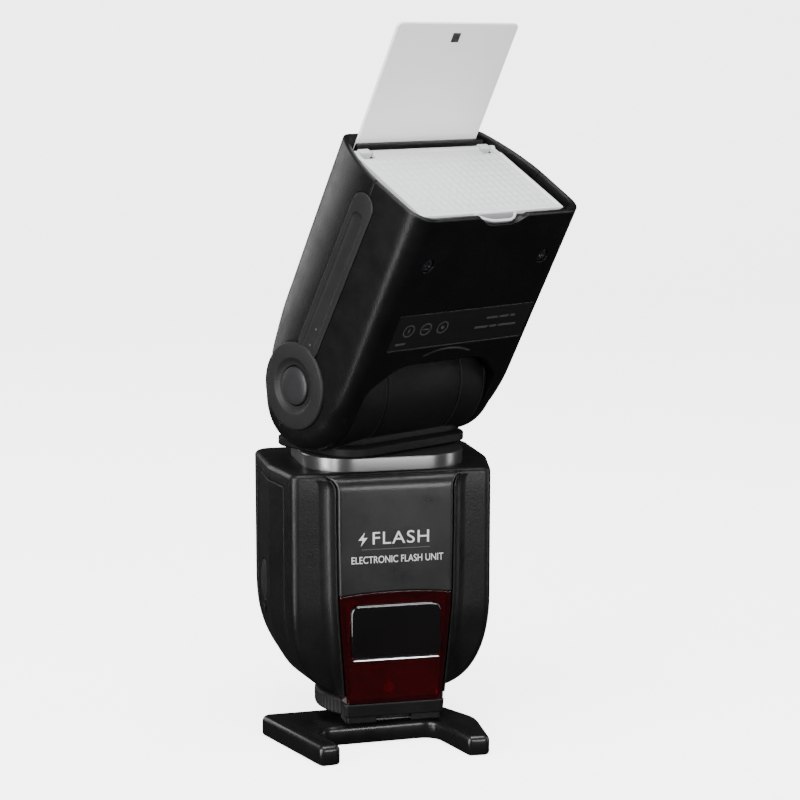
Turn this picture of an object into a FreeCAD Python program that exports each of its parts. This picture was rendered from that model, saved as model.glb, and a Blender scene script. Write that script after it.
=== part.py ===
"""A battery flash for a camera hot shoe, standing in its table stand.

Millimetres, +Z up, front towards -Y, the stand's sole at Z = 0 and its tripod thread at the origin.
The head is modelled upright round its own pivot and then tipped and swivelled into its rest pose.
"""
import FreeCAD
import Part
import Sketcher
import math
import os
from FreeCAD import Placement, Rotation, Vector

os.makedirs("parts", exist_ok=True)
doc = FreeCAD.newDocument("speedlight")

# ---------------------------------------------------------------- driving dimensions
DIMS = {
    "pivot_height": 122.0, "pivot_forward": 1.7, "rest_swivel": 29.5, "rest_tilt": 30.0,
    "foot_squareness": 2.6, "half_width": 38.0, "wing_half": 33.7, "wing_front": -25.5, "back_face": 27.0,
    "body_bottom": 17.0, "body_top": 93.3, "wall": 2.2, "split_plane": 5.0,
    "strip_front": -30.7, "strip_half": 19.2,
    "head_length": 78.8, "head_half": 37.4, "head_front": -23.2, "head_back": 27.5, "head_split": 0.0,
    "cheek_radius": 21.6, "cheek_forward": 0.8, "cheek_inner": 29.5, "barrel_radius": 22.6, "shaft_radius": 4.0,
    "collar_half": 27.5, "collar_depth": 24.8, "collar_top": 98.0, "spigot_radius": 12.0,
    "card_width": 53.0, "card_lean": 2.1,
    "disc_radius": 14.55, "button_radius": 6.4,
    "shoe_width": 18.6, "shoe_depth": 18.6, "shoe_thick": 2.0, "shoe_centre": -9.0,
    "ring_radius": 22.3, "ring_centre": -4.0, "ring_low": 8.8, "ring_high": 14.8,
    "thread_radius": 3.175, "stand_top": 6.8, "fit_gap": 0.05, "gap": 0.4,
    "cell_radius": 7.2, "cell_length": 50.0,
    "board_width": 30.0, "board_height": 62.0, "board_thick": 1.6,
    "lcd_width": 42.0, "lcd_height": 23.0,
}
sheet = doc.addObject("Spreadsheet::Sheet", "dims")
for row, (alias, number) in enumerate(DIMS.items(), start=1):
    sheet.set("A%d" % row, alias)
    sheet.set("B%d" % row, str(number))
    sheet.setAlias("B%d" % row, alias)
doc.recompute()


def dim(alias):
    """Value of one cell of the dimension sheet."""
    return float(sheet.get(alias))


PIVOT = dim("pivot_height")
GAP = dim("gap")
FIT = dim("fit_gap")
UP = Vector(0, 0, 1)
ACROSS = Vector(1, 0, 0)
BACK = Vector(0, 1, 0)
nodes = []

# The head's rest pose: tipped forward about X, then swivelled about Z, carried up to the pivot.
SWIVEL = Placement(Vector(0, 0, 0), Rotation(UP, dim("rest_swivel")))
HINGE_Y = -dim("pivot_forward")
HEAD = Placement(SWIVEL.multVec(Vector(0, HINGE_Y, PIVOT)),
                 Rotation(UP, dim("rest_swivel")) * Rotation(ACROSS, dim("rest_tilt")))
HOME = Placement()


# ---------------------------------------------------------------- shape helpers
def box(x0, x1, y0, y1, z0, z1):
    """Box between two corners."""
    return Part.makeBox(x1 - x0, y1 - y0, z1 - z0, Vector(x0, y0, z0))


def rod(radius, start, end):
    """Solid cylinder between two points."""
    a = Vector(*start)
    b = Vector(*end)
    return Part.makeCylinder(radius, (b - a).Length, a, b - a)


def fuse(shapes):
    """One shape from many, with internal seams removed."""
    return shapes[0].multiFuse(shapes[1:]).removeSplitter() if len(shapes) > 1 else shapes[0]


def cut(shape, tools):
    """A shape with several tools taken out of it."""
    for tool in tools:
        shape = shape.cut(tool)
    return shape


def rounded(points, radii):
    """Closed wire through 3-D points whose corners are rounded by the given radii."""
    count = len(points)
    starts, ends, mids = [], [], []
    for i, (point, radius) in enumerate(zip(points, radii)):
        here = Vector(*point)
        before = (Vector(*points[i - 1]) - here).normalize()
        after = (Vector(*points[(i + 1) % count]) - here).normalize()
        half = before.getAngle(after) / 2
        reach = radius / math.tan(half)
        starts.append(here + before * reach)
        ends.append(here + after * reach)
        inward = (before + after).normalize()
        mids.append(here + inward * (radius / math.sin(half) - radius))
    edges = []
    for i in range(count):
        if radii[i] > 0:
            edges.append(Part.Arc(starts[i], mids[i], ends[i]).toShape())
        if (starts[(i + 1) % count] - ends[i]).Length > 1e-6:
            edges.append(Part.LineSegment(ends[i], starts[(i + 1) % count]).toShape())
    return Part.Wire(edges)


def prism(points, radii, direction):
    """Rounded outline pushed along a direction."""
    if not isinstance(radii, (list, tuple)):
        radii = [radii] * len(points)
    return Part.Face(rounded(points, radii)).extrude(Vector(*direction))


def slab(x0, x1, z0, z1, y0, y1, radius):
    """Upright plate with rounded corners, lying in the XZ plane."""
    outline = [(x0, y0, z0), (x1, y0, z0), (x1, y0, z1), (x0, y0, z1)]
    return prism(outline, radius, (0, y1 - y0, 0))


def tray(x0, x1, y0, y1, z0, z1, radius):
    """Flat plate with rounded corners, lying in the XY plane."""
    outline = [(x0, y0, z0), (x1, y0, z0), (x1, y1, z0), (x0, y1, z0)]
    return prism(outline, radius, (0, 0, z1 - z0))


def feature(label, shape, place=HOME):
    """Keep a finished solid (or group of solids) as one named sub-part."""
    item = doc.addObject("Part::Feature", label)
    item.Label = label
    item.Shape = shape
    item.Placement = place
    nodes.append(item)
    return item


def origin_plane(body, role):
    """One of a body's own origin planes."""
    return [o for o in body.Origin.OriginFeatures if o.Role == role][0]


def plate_body(label, role, width, height, length, place, hole=None):
    """PartDesign plate: a centred rectangle bound to the sheet and padded, with an optional round hole."""
    body = doc.addObject("PartDesign::Body", label)
    body.Label = label
    sketch = body.newObject("Sketcher::SketchObject", label + "_outline")
    sketch.AttachmentSupport = [(origin_plane(body, role), "")]
    sketch.MapMode = "FlatFace"
    w = dim(width) / 2
    h = dim(height) / 2
    corners = [Vector(-w, -h, 0), Vector(w, -h, 0), Vector(w, h, 0), Vector(-w, h, 0)]
    for i in range(4):
        sketch.addGeometry(Part.LineSegment(corners[i], corners[(i + 1) % 4]), False)
    for i in range(4):
        sketch.addConstraint(sketcher("Coincident", i, 2, (i + 1) % 4, 1))
    sketch.addConstraint([sketcher("Horizontal", 0), sketcher("Horizontal", 2)])
    sketch.addConstraint([sketcher("Vertical", 1), sketcher("Vertical", 3)])
    sketch.addConstraint(sketcher("Symmetric", 0, 1, 2, 1, -1, 1))
    across = sketch.addConstraint(sketcher("DistanceX", 0, 1, 0, 2, 2 * w))
    upward = sketch.addConstraint(sketcher("DistanceY", 1, 1, 1, 2, 2 * h))
    sketch.setExpression("Constraints[%d]" % across, "dims." + width)
    sketch.setExpression("Constraints[%d]" % upward, "dims." + height)
    pad = body.newObject("PartDesign::Pad", label + "_pad")
    pad.Profile = sketch
    pad.Length = dim(length)
    pad.setExpression("Length", "dims." + length)
    doc.recompute()
    if hole:
        ring = body.newObject("Sketcher::SketchObject", label + "_hole")
        ring.AttachmentSupport = [(origin_plane(body, role), "")]
        ring.MapMode = "FlatFace"
        ring.addGeometry(Part.Circle(Vector(hole[0], hole[1], 0), UP, hole[2]), False)
        drill = body.newObject("PartDesign::Pocket", label + "_drill")
        drill.Profile = ring
        drill.Type = 1
        drill.Midplane = True
        doc.recompute()
    body.Placement = place
    nodes.append(body)
    return body


def sketcher(*args):
    """One sketch constraint."""
    return Sketcher.Constraint(*args)


def cap_body(label, radius, length, place):
    """PartDesign round cap: a circle padded along +Z with its far rim rounded."""
    body = doc.addObject("PartDesign::Body", label)
    body.Label = label
    sketch = body.newObject("Sketcher::SketchObject", label + "_circle")
    sketch.AttachmentSupport = [(origin_plane(body, "XY_Plane"), "")]
    sketch.MapMode = "FlatFace"
    sketch.addGeometry(Part.Circle(Vector(0, 0, 0), UP, radius), False)
    sketch.addConstraint(sketcher("Coincident", 0, 3, -1, 1))
    sketch.addConstraint(sketcher("Radius", 0, radius))
    pad = body.newObject("PartDesign::Pad", label + "_pad")
    pad.Profile = sketch
    pad.Length = length
    doc.recompute()
    rim = [i for i, e in enumerate(pad.Shape.Edges, start=1)
           if e.Curve.TypeId == "Part::GeomCircle" and e.BoundBox.ZMin > length - 1e-6]
    fillet = body.newObject("PartDesign::Fillet", label + "_round")
    fillet.Base = (pad, ["Edge%d" % rim[0]])
    fillet.Radius = 0.5
    doc.recompute()
    body.Placement = place
    nodes.append(body)
    return body


# ---------------------------------------------------------------- housing
BODY_LOW = dim("body_bottom")
BODY_TOP = dim("body_top")


def housing(inset):
    """Outer volume of the housing, drawn in by an inset: plan, front view and side view crossed."""
    side = dim("half_width") - inset
    wing = dim("wing_half") - inset
    front = dim("wing_front") + inset
    back = dim("back_face") - inset
    low = BODY_LOW + inset
    top = BODY_TOP - inset
    plan = [(-wing, front), (wing, front), (side, -4), (side, back), (-side, back), (-side, -4)]
    body = prism([(x, y, low - 1) for x, y in plan], [3, 3, 12, 5, 5, 12], (0, 0, top - low + 2))
    centre = 14.0
    middle = 52.0
    across = side - centre
    down = middle - low
    bend = 2 / dim("foot_squareness")
    arc = [(centre + across * math.cos(a) ** bend, middle - down * math.sin(a) ** bend)
           for a in [math.radians(d) for d in range(0, 90, 10)]] + [(centre, low)]
    curve = Part.BSplineCurve()
    curve.interpolate([Vector(x, -60, z) for x, z in arc], InitialTangent=Vector(0, 0, -1),
                      FinalTangent=Vector(-1, 0, 0))
    mirrored = Part.BSplineCurve()
    mirrored.interpolate([Vector(-x, -60, z) for x, z in reversed(arc)], InitialTangent=Vector(-1, 0, 0),
                         FinalTangent=Vector(0, 0, 1))
    corners = [Vector(-side, -60, middle), Vector(-side, -60, top), Vector(side, -60, top),
               Vector(side, -60, middle)]
    edges = [Part.LineSegment(corners[i], corners[i + 1]).toShape() for i in range(3)]
    edges.append(curve.toShape())
    edges.append(Part.LineSegment(Vector(centre, -60, low), Vector(-centre, -60, low)).toShape())
    edges.append(mirrored.toShape())
    elevation = Part.Face(Part.Wire(edges)).extrude(Vector(0, 120, 0))
    profile = [(-60, front, top), (-60, front, 45), (-60, front + 4, low), (-60, back - 14, low),
               (-60, back, 34), (-60, back, top)]
    return body.common(elevation).common(prism(profile, [2, 20, 1, 8, 12, 4], (120, 0, 0)))


outer = housing(0.0)
inner = housing(dim("wall"))
shell = outer.cut(inner)
split = dim("split_plane")

# Battery door: the left side panel, hung on a rod just inside its rear edge.
DOOR_X = -36.5
DOOR_Y = 17.4
EYES = [(51.6, 55.6), (66.4, 69.6), (80.4, 83.4)]
KNUCKLES = [(60.0, 66.0), (74.0, 80.0)]
DOOR_SWEEP = 35.0
DOOR_INNER = -23.5
door_zone = box(-50, DOOR_INNER + GAP, -30, DOOR_Y + 1.8, 10, 88.4)
door_zone = door_zone.common(rod(DOOR_SWEEP + GAP, (DOOR_X, DOOR_Y, 5), (DOOR_X, DOOR_Y, 95)))
door_panel = outer.cut(housing(2.0)).common(box(-50, DOOR_INNER, -30, DOOR_Y, 10, 88))
door_panel = door_panel.common(rod(DOOR_SWEEP, (DOOR_X, DOOR_Y, 5), (DOOR_X, DOOR_Y, 95)))
eyes = [rod(1.2, (DOOR_X, DOOR_Y, a), (DOOR_X, DOOR_Y, b)).fuse(
    box(DOOR_X - 0.9, DOOR_X + 1.1, DOOR_Y, DOOR_Y + 3.2, a, b)) for a, b in EYES]
knuckles = [rod(1.3, (DOOR_X, DOOR_Y, a), (DOOR_X, DOOR_Y, b)) for a, b in KNUCKLES]
knuckle_webs = [box(DOOR_X - 1.0, DOOR_X + 1.0, DOOR_Y - 3, DOOR_Y, a, b) for a, b in KNUCKLES]
door_bore = rod(0.6 + FIT, (DOOR_X, DOOR_Y, 47), (DOOR_X, DOOR_Y, 88.4))
door_panel = cut(door_panel, [rod(1.75, (DOOR_X, DOOR_Y, 20), (DOOR_X, DOOR_Y, 95))])
door_panel = fuse([door_panel] + knuckles + knuckle_webs).cut(door_bore)
grip = [rod(0.35, (-40, -6, z), (-34, -6, z)).fuse(box(-40, -37.6, -10, -2, z - 0.35, z + 0.35))
        for z in (47, 49.4, 51.8, 54.2, 56.6)]
door_panel = cut(door_panel, grip)

# Socket cover: a soft flap let into the right side.
FLAP_Y = 12.0
flap_zone = box(34, 50, -5.5, FLAP_Y + 0.5, 43.5, 62.5)
flap = outer.cut(housing(1.5)).common(box(30, 50, -5, FLAP_Y, 44, 62))
socket_recess = outer.common(flap_zone)

spigot = dim("spigot_radius")
top_bore = rod(spigot + FIT, (0, 0, 80), (0, 0, 100))
strip_seat = slab(-17.5, 17.5, 18, 88, -40, -20, 2)
rear_window = slab(-22, 22, 59.5, 86, 20, 40, 1.5)
KEY_HOLES = [(-14, 53.5, 4.0), (0, 53.5, 4.0), (14, 53.5, 4.0), (-24, 39, 4.6), (24, 39, 4.6), (0, 38, 12.4)]
key_holes = [rod(r, (x, 20, z), (x, 40, z)) for x, z, r in KEY_HOLES]
sync_hole = rod(4.4, (30, 0, 56), (50, 0, 56))
power_hole = box(30, 50, 5.6, 11, 45.6, 51.6)
board_posts = [rod(2.6, (x, -25, z), (x, -8.6, z)) for x, z in ((22, 80), (30, 80), (22, 38), (29, 42))]
case = cut(shell, [door_zone, top_bore, strip_seat, rear_window, sync_hole, power_hole] + key_holes)
case = case.cut(outer.cut(housing(1.7)).common(flap_zone))
case = fuse([case] + [e for e in eyes]).cut(door_bore)
front_shell = case.common(box(-60, 60, -60, split, 0, 120))
rear_shell = case.common(box(-60, 60, split, 60, 0, 120))
front_shell = fuse([front_shell] + [p.common(housing(1.0)) for p in board_posts])
feature("front_shell", front_shell)
feature("rear_shell", rear_shell)

# Raised front strip with the window opening, and the trim under the window.
strip_plan = [(-20.8, -25.5), (-19.2, -30.7), (19.2, -30.7), (20.8, -25.5)]


def strip_block(grow, front, z0, z1):
    """Tapering block on the front of the housing; its sides close in below the window's top."""
    half = dim("strip_half") + grow
    foot = half - 3.4
    outline = [(-half - 1.4, 0, 90.4), (half + 1.4, 0, 90.4), (half + 0.4, 0, 52), (foot, 0, 9), (-foot, 0, 9),
               (-half - 0.4, 0, 52)]
    face = prism([(x, -60, z) for x, _, z in outline], [1.5, 1.5, 20, 2, 2, 20], (0, 120, 0))
    profile = [(-40, front + 2.6, 91.5), (-40, front, 88.6), (-40, front, 48), (-40, front + 3.0, 9),
               (-40, -20, 9), (-40, -20, 91.5)]
    deep = prism(profile, [1.2, 1.5, 30, 0.8, 0.2, 0.2], (80, 0, 0))
    return face.common(deep).common(box(-40, 40, -60, 60, z0, z1))


strip = cut(strip_block(0, dim("strip_front"), 9, 92), [outer, box(-60, 60, -23.8, 60, 5, 19.4)])
WINDOW_TOP = 53.0
WINDOW_LOW = 15.2
upper = strip.common(box(-60, 60, -60, 60, WINDOW_TOP, 92))
window = strip.common(box(-60, 60, -60, 0, WINDOW_LOW, WINDOW_TOP + 2)).cut(box(-15.8, 15.8, -26.6, 0, 15, 51))
chin = strip.common(box(-60, 60, -60, -26.8, 10.5, WINDOW_LOW))
chin = fuse([chin, strip.common(box(-15.4, 15.4, -28.0, 0, 14.9, WINDOW_LOW)),
             strip.common(box(-15.4, 15.4, -26.6, 0, WINDOW_LOW, 22))])
arch = rod(118, (0, -60, WINDOW_TOP - 116.4), (0, -20, WINDOW_TOP - 116.4))
upper = fuse([upper, strip.common(box(-60, 60, -60, 60, WINDOW_TOP - 3, WINDOW_TOP))]).cut(arch)
upper = upper.cut(box(-16.8, 16.8, -28.6, 0, 57, 87))
window = window.common(arch)
LENS_PLAN = (-15.2, 15.2, 31.2, 49.6)
lens_pocket = slab(LENS_PLAN[0] - 0.1, LENS_PLAN[1] + 0.1, LENS_PLAN[2] - 0.1, LENS_PLAN[3] + 0.1, -34, -28.2, 3.1)
window = window.cut(lens_pocket)
sensor_lens = slab(LENS_PLAN[0], LENS_PLAN[1], LENS_PLAN[2], LENS_PLAN[3], -31.2, -28.2, 3.0)
feature("front_strip", upper)
feature("red_window", window)
feature("sensor_lens", sensor_lens)
feature("chin_trim", chin)

# Rear panel: screen window, screen, keypad bezel.
feature("lcd_window", slab(-21.9, 21.9, 59.6, 85.9, 25.6, 27.0, 1.4))
plate_body("lcd_screen", "XZ_Plane", "lcd_width", "lcd_height", "wall",
           Placement(Vector(0, 25.4, 72.8), Rotation()))

# ---------------------------------------------------------------- keys on the back
KEY_FACE = 28.0
for name, x in (("light_key", -14), ("mode_key", 0), ("zoom_key", 14)):
    stem = rod(3.6, (x, 22.4, 53.5), (x, KEY_FACE, 53.5))
    flange = rod(4.6, (x, 22.4, 53.5), (x, 23.4, 53.5))
    feature(name, fuse([stem, flange]))
for name, x in (("pilot_key", -24), ("power_key", 24)):
    stem = rod(4.2, (x, 22.4, 39), (x, KEY_FACE, 39))
    flange = rod(4.9, (x, 22.4, 39), (x, 23.4, 39))
    feature(name, fuse([stem, flange]))
pad_ring = Part.makeTorus(9.0, 2.0, Vector(0, 26.4, 38), BACK)
pad_plate = rod(11.6, (0, 24.4, 38), (0, 26.4, 38)).cut(rod(6.0, (0, 20, 38), (0, 30, 38)))
pad_ring = fuse([pad_ring.common(rod(11.6, (0, 24.4, 38), (0, 30, 38))), pad_plate])
feature("arrow_pad", pad_ring.cut(rod(6.0, (0, 20, 38), (0, 30, 38))))
gimbal = rod(9.2, (0, 21.6, 38), (0, 23.0, 38)).cut(rod(6.2, (0, 20, 38), (0, 30, 38)))
feature("pad_gimbal", gimbal)
feature("ok_key", fuse([rod(5.0, (0, 21.1, 38), (0, 28.2, 38)), rod(5.6, (0, 21.1, 38), (0, 21.7, 38))]))
plate_body("keypad_board", "XZ_Plane", "board_height", "board_width", "board_thick",
           Placement(Vector(0, 19.8, 47.6), Rotation()))

# ---------------------------------------------------------------- battery bay
CELLS = [(-24.9, 7.5), (-10.3, 7.5), (-24.9, -7.5), (-10.3, -7.5)]
cell_low = 33.6
cell_high = cell_low + dim("cell_length")
cells = []
for x, y in CELLS:
    can = rod(dim("cell_radius"), (x, y, cell_low), (x, y, cell_high - 1.2))
    cells.append(can.fuse(rod(2.7, (x, y, cell_high - 1.2), (x, y, cell_high))))
feature("battery_cells", Part.makeCompound(cells))
bay = box(-33, -1.4, -16.6, 16.6, cell_high + 1.1, cell_high + 2.5)
bay = bay.fuse(box(-2.8, -1.4, -16.6, 16.6, cell_low - 4.2, cell_high + 2.5))
bay = bay.fuse(box(-33, -1.4, -16.6, 16.6, cell_low - 4.2, cell_low - 2.8))
bay = bay.common(housing(2.6))
feature("battery_bay", bay)
feature("contact_strips", Part.makeCompound([
    box(x - 5, x + 5, -13, 13, cell_high + 0.6, cell_high + 1.1) for x in (-24.9, -10.3)]))
coils = []
for x, y in ((-10.3, 7.5), (-10.3, -7.5)):
    coils.append(Part.makeCone(3.6, 1.8, 2.4, Vector(x, y, cell_low - 2.7), UP))
feature("contact_springs", Part.makeCompound(coils))
feature("door_rod", rod(0.6, (DOOR_X, DOOR_Y, 54.4), (DOOR_X, DOOR_Y, 87.4)))
feature("battery_door", door_panel)

# ---------------------------------------------------------------- electronics
main_board = slab(6, 33, 30, 84, -8.6, -7.0, 1)
feature("main_board", main_board.common(housing(2.6)))
capacitor = rod(11.0, (21, 6, 34), (21, 6, 78))
feature("main_capacitor", capacitor.fuse(rod(9.6, (21, 6, 78), (21, 6, 79.4))))
socket_body = rod(4.2, (33.6, 0, 56), (35.6, 0, 56)).cut(rod(1.6, (34.6, 0, 56), (36, 0, 56)))
feature("sync_socket", fuse([socket_body, rod(0.6, (34.0, 0, 56), (35.5, 0, 56))]))
feature("power_socket", box(33.6, 35.5, 5.8, 10.8, 45.8, 51.4).cut(box(34.4, 36, 6.8, 9.8, 47, 50.2)))
feature("socket_cover", flap)

# ---------------------------------------------------------------- foot, ring and pin
RING_Y = dim("ring_centre")
SHOE_Y = dim("shoe_centre")
foot = fuse([
    tray(-17, 17, -23.6, 12, 15.2, 19.0, 4), rod(12.0, (0, RING_Y, 8.2), (0, RING_Y, 15.2)),
    tray(-6.0, 6.0, -17.4, -0.6, 5.6, 8.6, 1),
])
PIN_Y = -14.2
foot = cut(foot, [rod(1.15, (0, PIN_Y, 0), (0, PIN_Y, 14.2)), rod(1.9, (0, PIN_Y, 9.4), (0, PIN_Y, 14.2))])
foot = foot.cut(inner)
feature("foot_block", foot.cut(front_shell).cut(rear_shell))
plate_body("shoe_plate", "XY_Plane", "shoe_width", "shoe_depth", "shoe_thick",
           Placement(Vector(0, SHOE_Y, 3.6), Rotation()), hole=(0, PIN_Y - SHOE_Y, 1.15))
pads = [(0, -9.0, 1.5), (-4.2, -12.6, 1.0), (4.2, -12.6, 1.0), (-4.2, -5.4, 1.0), (4.2, -5.4, 1.0)]
feature("shoe_contacts", Part.makeCompound([rod(r, (x, y, 3.45), (x, y, 3.6)) for x, y, r in pads]))
ring_low = dim("ring_low")
ring_high = dim("ring_high")
knob = rod(dim("ring_radius"), (0, RING_Y, ring_low), (0, RING_Y, ring_high))
knob = knob.cut(rod(12.0 + FIT, (0, RING_Y, 0), (0, RING_Y, 30)))
flutes = []
for i in range(40):
    turn = math.radians(i * 9)
    spot = (dim("ring_radius") * math.cos(turn), RING_Y + dim("ring_radius") * math.sin(turn))
    flutes.append(rod(0.6, (spot[0], spot[1], ring_low + 1), (spot[0], spot[1], ring_high - 1)))
feature("lock_ring", knob.cut(Part.makeCompound(flutes)))
feature("lock_pin", fuse([rod(1.1, (0, PIN_Y, 3.7), (0, PIN_Y, 13.4)), rod(1.7, (0, PIN_Y, 11.0), (0, PIN_Y, 11.6))]))

# ---------------------------------------------------------------- table stand
STAND_TOP = dim("stand_top")
outline = [(-43.0, -4.5), (-28.4, -44.6), (-21.0, -43.6), (-26.5, -25.0), (14.0, -23.5), (21.2, -45.4),
           (28.6, -45.6), (29.6, -24.0), (19.0, -5.0), (13.0, -4.0), (13.0, 8.5), (-13.0, 8.5), (-13.0, -3.6)]
corner = [2.5, 2.0, 1.6, 5.0, 5.5, 1.6, 2.0, 12.0, 8.0, 1.0, 3.0, 3.0, 1.0]
plate = prism([(x, y, 0) for x, y in outline], corner, (0, 0, STAND_TOP))
slot_plate = box(-9.7, 9.7, SHOE_Y - 9.7, 12, 3.2, 6.0)
slot_stem = box(-6.6, 6.6, SHOE_Y - 9.0, 12, 5.9, 9)
rails = tray(-12.2, 12.2, -21.0, 8.0, STAND_TOP - 0.5, 7.6, 1.0)
stand = fuse([plate, rails])
stand = cut(stand, [slot_plate, slot_stem, rod(4.6, (0, 0, -1), (0, 0, 3.3)), rod(1.7, (0, PIN_Y, 1.2), (0, PIN_Y, 4))])
feature("table_stand", stand)
insert = rod(4.6, (0, 0, 0), (0, 0, 3.1)).cut(rod(dim("thread_radius"), (0, 0, -1), (0, 0, 4)))
feature("thread_insert", insert)

# ---------------------------------------------------------------- swivel yoke (drawn square to the front)
cheek_in = dim("cheek_inner")
collar = tray(-dim("collar_half"), dim("collar_half"), -dim("collar_depth"), dim("collar_depth"),
              BODY_TOP, dim("collar_top"), 13)
feature("collar_ring", collar.cut(rod(spigot + FIT, (0, 0, 90), (0, 0, 100))))
seat = dim("collar_top") + GAP
barrel = rod(dim("barrel_radius"), (-cheek_in + GAP, HINGE_Y, PIVOT), (cheek_in - GAP, HINGE_Y, PIVOT))
neck = tray(-27.5, 27.5, -15.0, 19.0, seat, PIVOT - 6, 8)
saddle = tray(-28.5, 28.5, -19.0, 23.0, seat, 101.6, 10)
spindle = rod(spigot, (0, 0, 88), (0, 0, seat))
shaft_bore = rod(dim("shaft_radius") + FIT, (-40, HINGE_Y, PIVOT), (40, HINGE_Y, PIVOT))
wire_way = rod(6.5, (0, 0, 80), (0, 0, PIVOT - 8))
yoke_shape = fuse([barrel, neck, saddle, spindle])
feature("swivel_yoke", cut(yoke_shape, [shaft_bore, wire_way]), SWIVEL)
clip = rod(15.5, (0, 0, 88.6), (0, 0, 89.8)).cut(rod(spigot - 1.0, (0, 0, 80), (0, 0, 90)))
feature("swivel_clip", clip.cut(yoke_shape), SWIVEL)

# ---------------------------------------------------------------- head (drawn upright about the pivot)
LENGTH = dim("head_length")
FRONT = dim("head_front")
REAR = dim("head_back")
SEAM = dim("head_split")
HALF = dim("head_half")


def head_volume(inset, low, high):
    """Head outline crossed with its side view: slab-sided in front, rounded in towards the back."""
    section = [(-36.6, FRONT), (36.6, FRONT), (HALF, SEAM), (35.2, 16.5), (30.0, REAR), (-30.0, REAR),
               (-35.2, 16.5), (-HALF, SEAM)]
    middle = (REAR + FRONT) / 2
    shrink_x = (HALF - inset) / HALF
    shrink_y = (REAR - middle - inset) / (REAR - middle)
    points = [(x * shrink_x, middle + (y - middle) * shrink_y, low) for x, y in section]
    block = prism(points, [6, 6, 8, 10, 5, 5, 10, 8], (0, 0, high - low))
    r = dim("cheek_radius") - inset
    forward = dim("cheek_forward")
    profile = [(-60, FRONT + inset, LENGTH + 1), (-60, REAR - inset, LENGTH + 1), (-60, 24.5 - inset, 22),
               (-60, r * 0.98 - forward, 0), (-60, -r * 0.98 - forward, 0), (-60, FRONT + inset, 14)]
    side = prism(profile, [0, 0, 25, 0, 0, 8], (120, 0, 0))
    return block.common(side.fuse(rod(r, (-60, -forward, 0), (60, -forward, 0))))


head_outer = head_volume(0, -23, LENGTH)
cavity = head_volume(2.0, 25.0, LENGTH + 1)
scoop = prism([(-cheek_in, -30, -30), (cheek_in, -30, -30), (cheek_in, -30, 13), (20, -30, 21.6), (-20, -30, 21.6),
               (-cheek_in, -30, 13)], [0, 0, 6, 12, 12, 6], (0, 22, 0))
barrel_room = fuse([
    rod(dim("barrel_radius") + GAP, (-cheek_in, 0, 0), (cheek_in, 0, 0)),
    box(-cheek_in, cheek_in, -30, 30, -30, 2), box(-cheek_in, cheek_in, 0, 30, -30, 12), scoop,
])
case_block = cut(head_outer, [cavity, barrel_room])
shaft_hole = rod(dim("shaft_radius"), (-31, 0, 0), (31, 0, 0))
button_room = rod(7.0, (-40, 0, 0), (-31, 0, 0))
disc_seat_l = rod(dim("disc_radius") + 0.1, (-40, 0, 0), (-36.0, 0, 0))
disc_seat_r = rod(dim("disc_radius") + 0.1, (36.0, 0, 0), (40, 0, 0))
BAND_Y = SEAM + 0.8
BAND_HALF = 5.0
BAND_TOP = 73.5
strip_cut_l = box(-40, -36.7, BAND_Y - BAND_HALF - 0.1, BAND_Y + BAND_HALF + 0.1, 0, BAND_TOP + 0.2)
strip_cut_r = box(36.7, 40, BAND_Y - BAND_HALF - 0.1, BAND_Y + BAND_HALF + 0.1, 0, BAND_TOP + 0.2)
notch = tray(-9.8, 9.8, -30, FRONT + 5, LENGTH - 3.0, LENGTH + 2, 0.5)
label_seat = box(-28.2, 32.2, FRONT - 1, FRONT + 0.35, 29.3, 43.2)
SCREWS = [(-25.6, 62.0), (25.6, 62.0)]
screw_holes = [rod(2.4, (x, FRONT - 1, z), (x, FRONT + 1.2, z)) for x, z in SCREWS]
case_block = cut(case_block, [shaft_hole, button_room, disc_seat_l, disc_seat_r, strip_cut_l, strip_cut_r,
                              notch, label_seat] + screw_holes)
lower_zone = box(-60, 60, -60, SEAM, -60, 120)
upper_zone = box(-60, 60, SEAM, 60, -60, 120)
feature("head_front_case", case_block.common(lower_zone), HEAD)
feature("head_back_case", case_block.common(upper_zone), HEAD)
label = slab(-28.0, 32.0, 29.5, 43.0, FRONT + 0.05, FRONT + 0.35, 1)
feature("rating_label", label, HEAD)
heads = []
for x, z in SCREWS:
    screw = rod(2.2, (x, FRONT + 0.3, z), (x, FRONT + 1.2, z))
    cross = [box(x - 1.3, x + 1.3, FRONT, FRONT + 0.8, z - 0.25, z + 0.25),
             box(x - 0.25, x + 0.25, FRONT, FRONT + 0.8, z - 1.3, z + 1.3)]
    heads.append(cut(screw, cross))
feature("head_screws", Part.makeCompound(heads), HEAD)
feature("tilt_shaft", rod(dim("shaft_radius"), (-30.6, 0, 0), (30.6, 0, 0)), HEAD)


def side_trim(sign, with_button):
    """Round pivot cap with a rounded strip running up the head's side."""
    x0 = sign * 36.0
    x1 = sign * 38.0
    cap = rod(dim("disc_radius"), (x0, 0, 0), (x1, 0, 0))
    inner = x0 + sign * 0.7
    band = prism(
        [(inner, BAND_Y - BAND_HALF, 2), (inner, BAND_Y + BAND_HALF, 2),
         (inner, BAND_Y + BAND_HALF, BAND_TOP), (inner, BAND_Y - BAND_HALF, BAND_TOP)],
        [0.5, 0.5, 4.8, 4.8], (sign * 0.9, 0, 0))
    whole = fuse([cap, band])
    dish = Part.makeCone(8.0, 9.2, 1.1, Vector(sign * 36.95, 0, 0), Vector(sign, 0, 0))
    whole = whole.cut(dish)
    if with_button:
        whole = whole.cut(rod(dim("button_radius") + 0.3, (sign * 30, 0, 0), (sign * 40, 0, 0)))
    return whole


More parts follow.
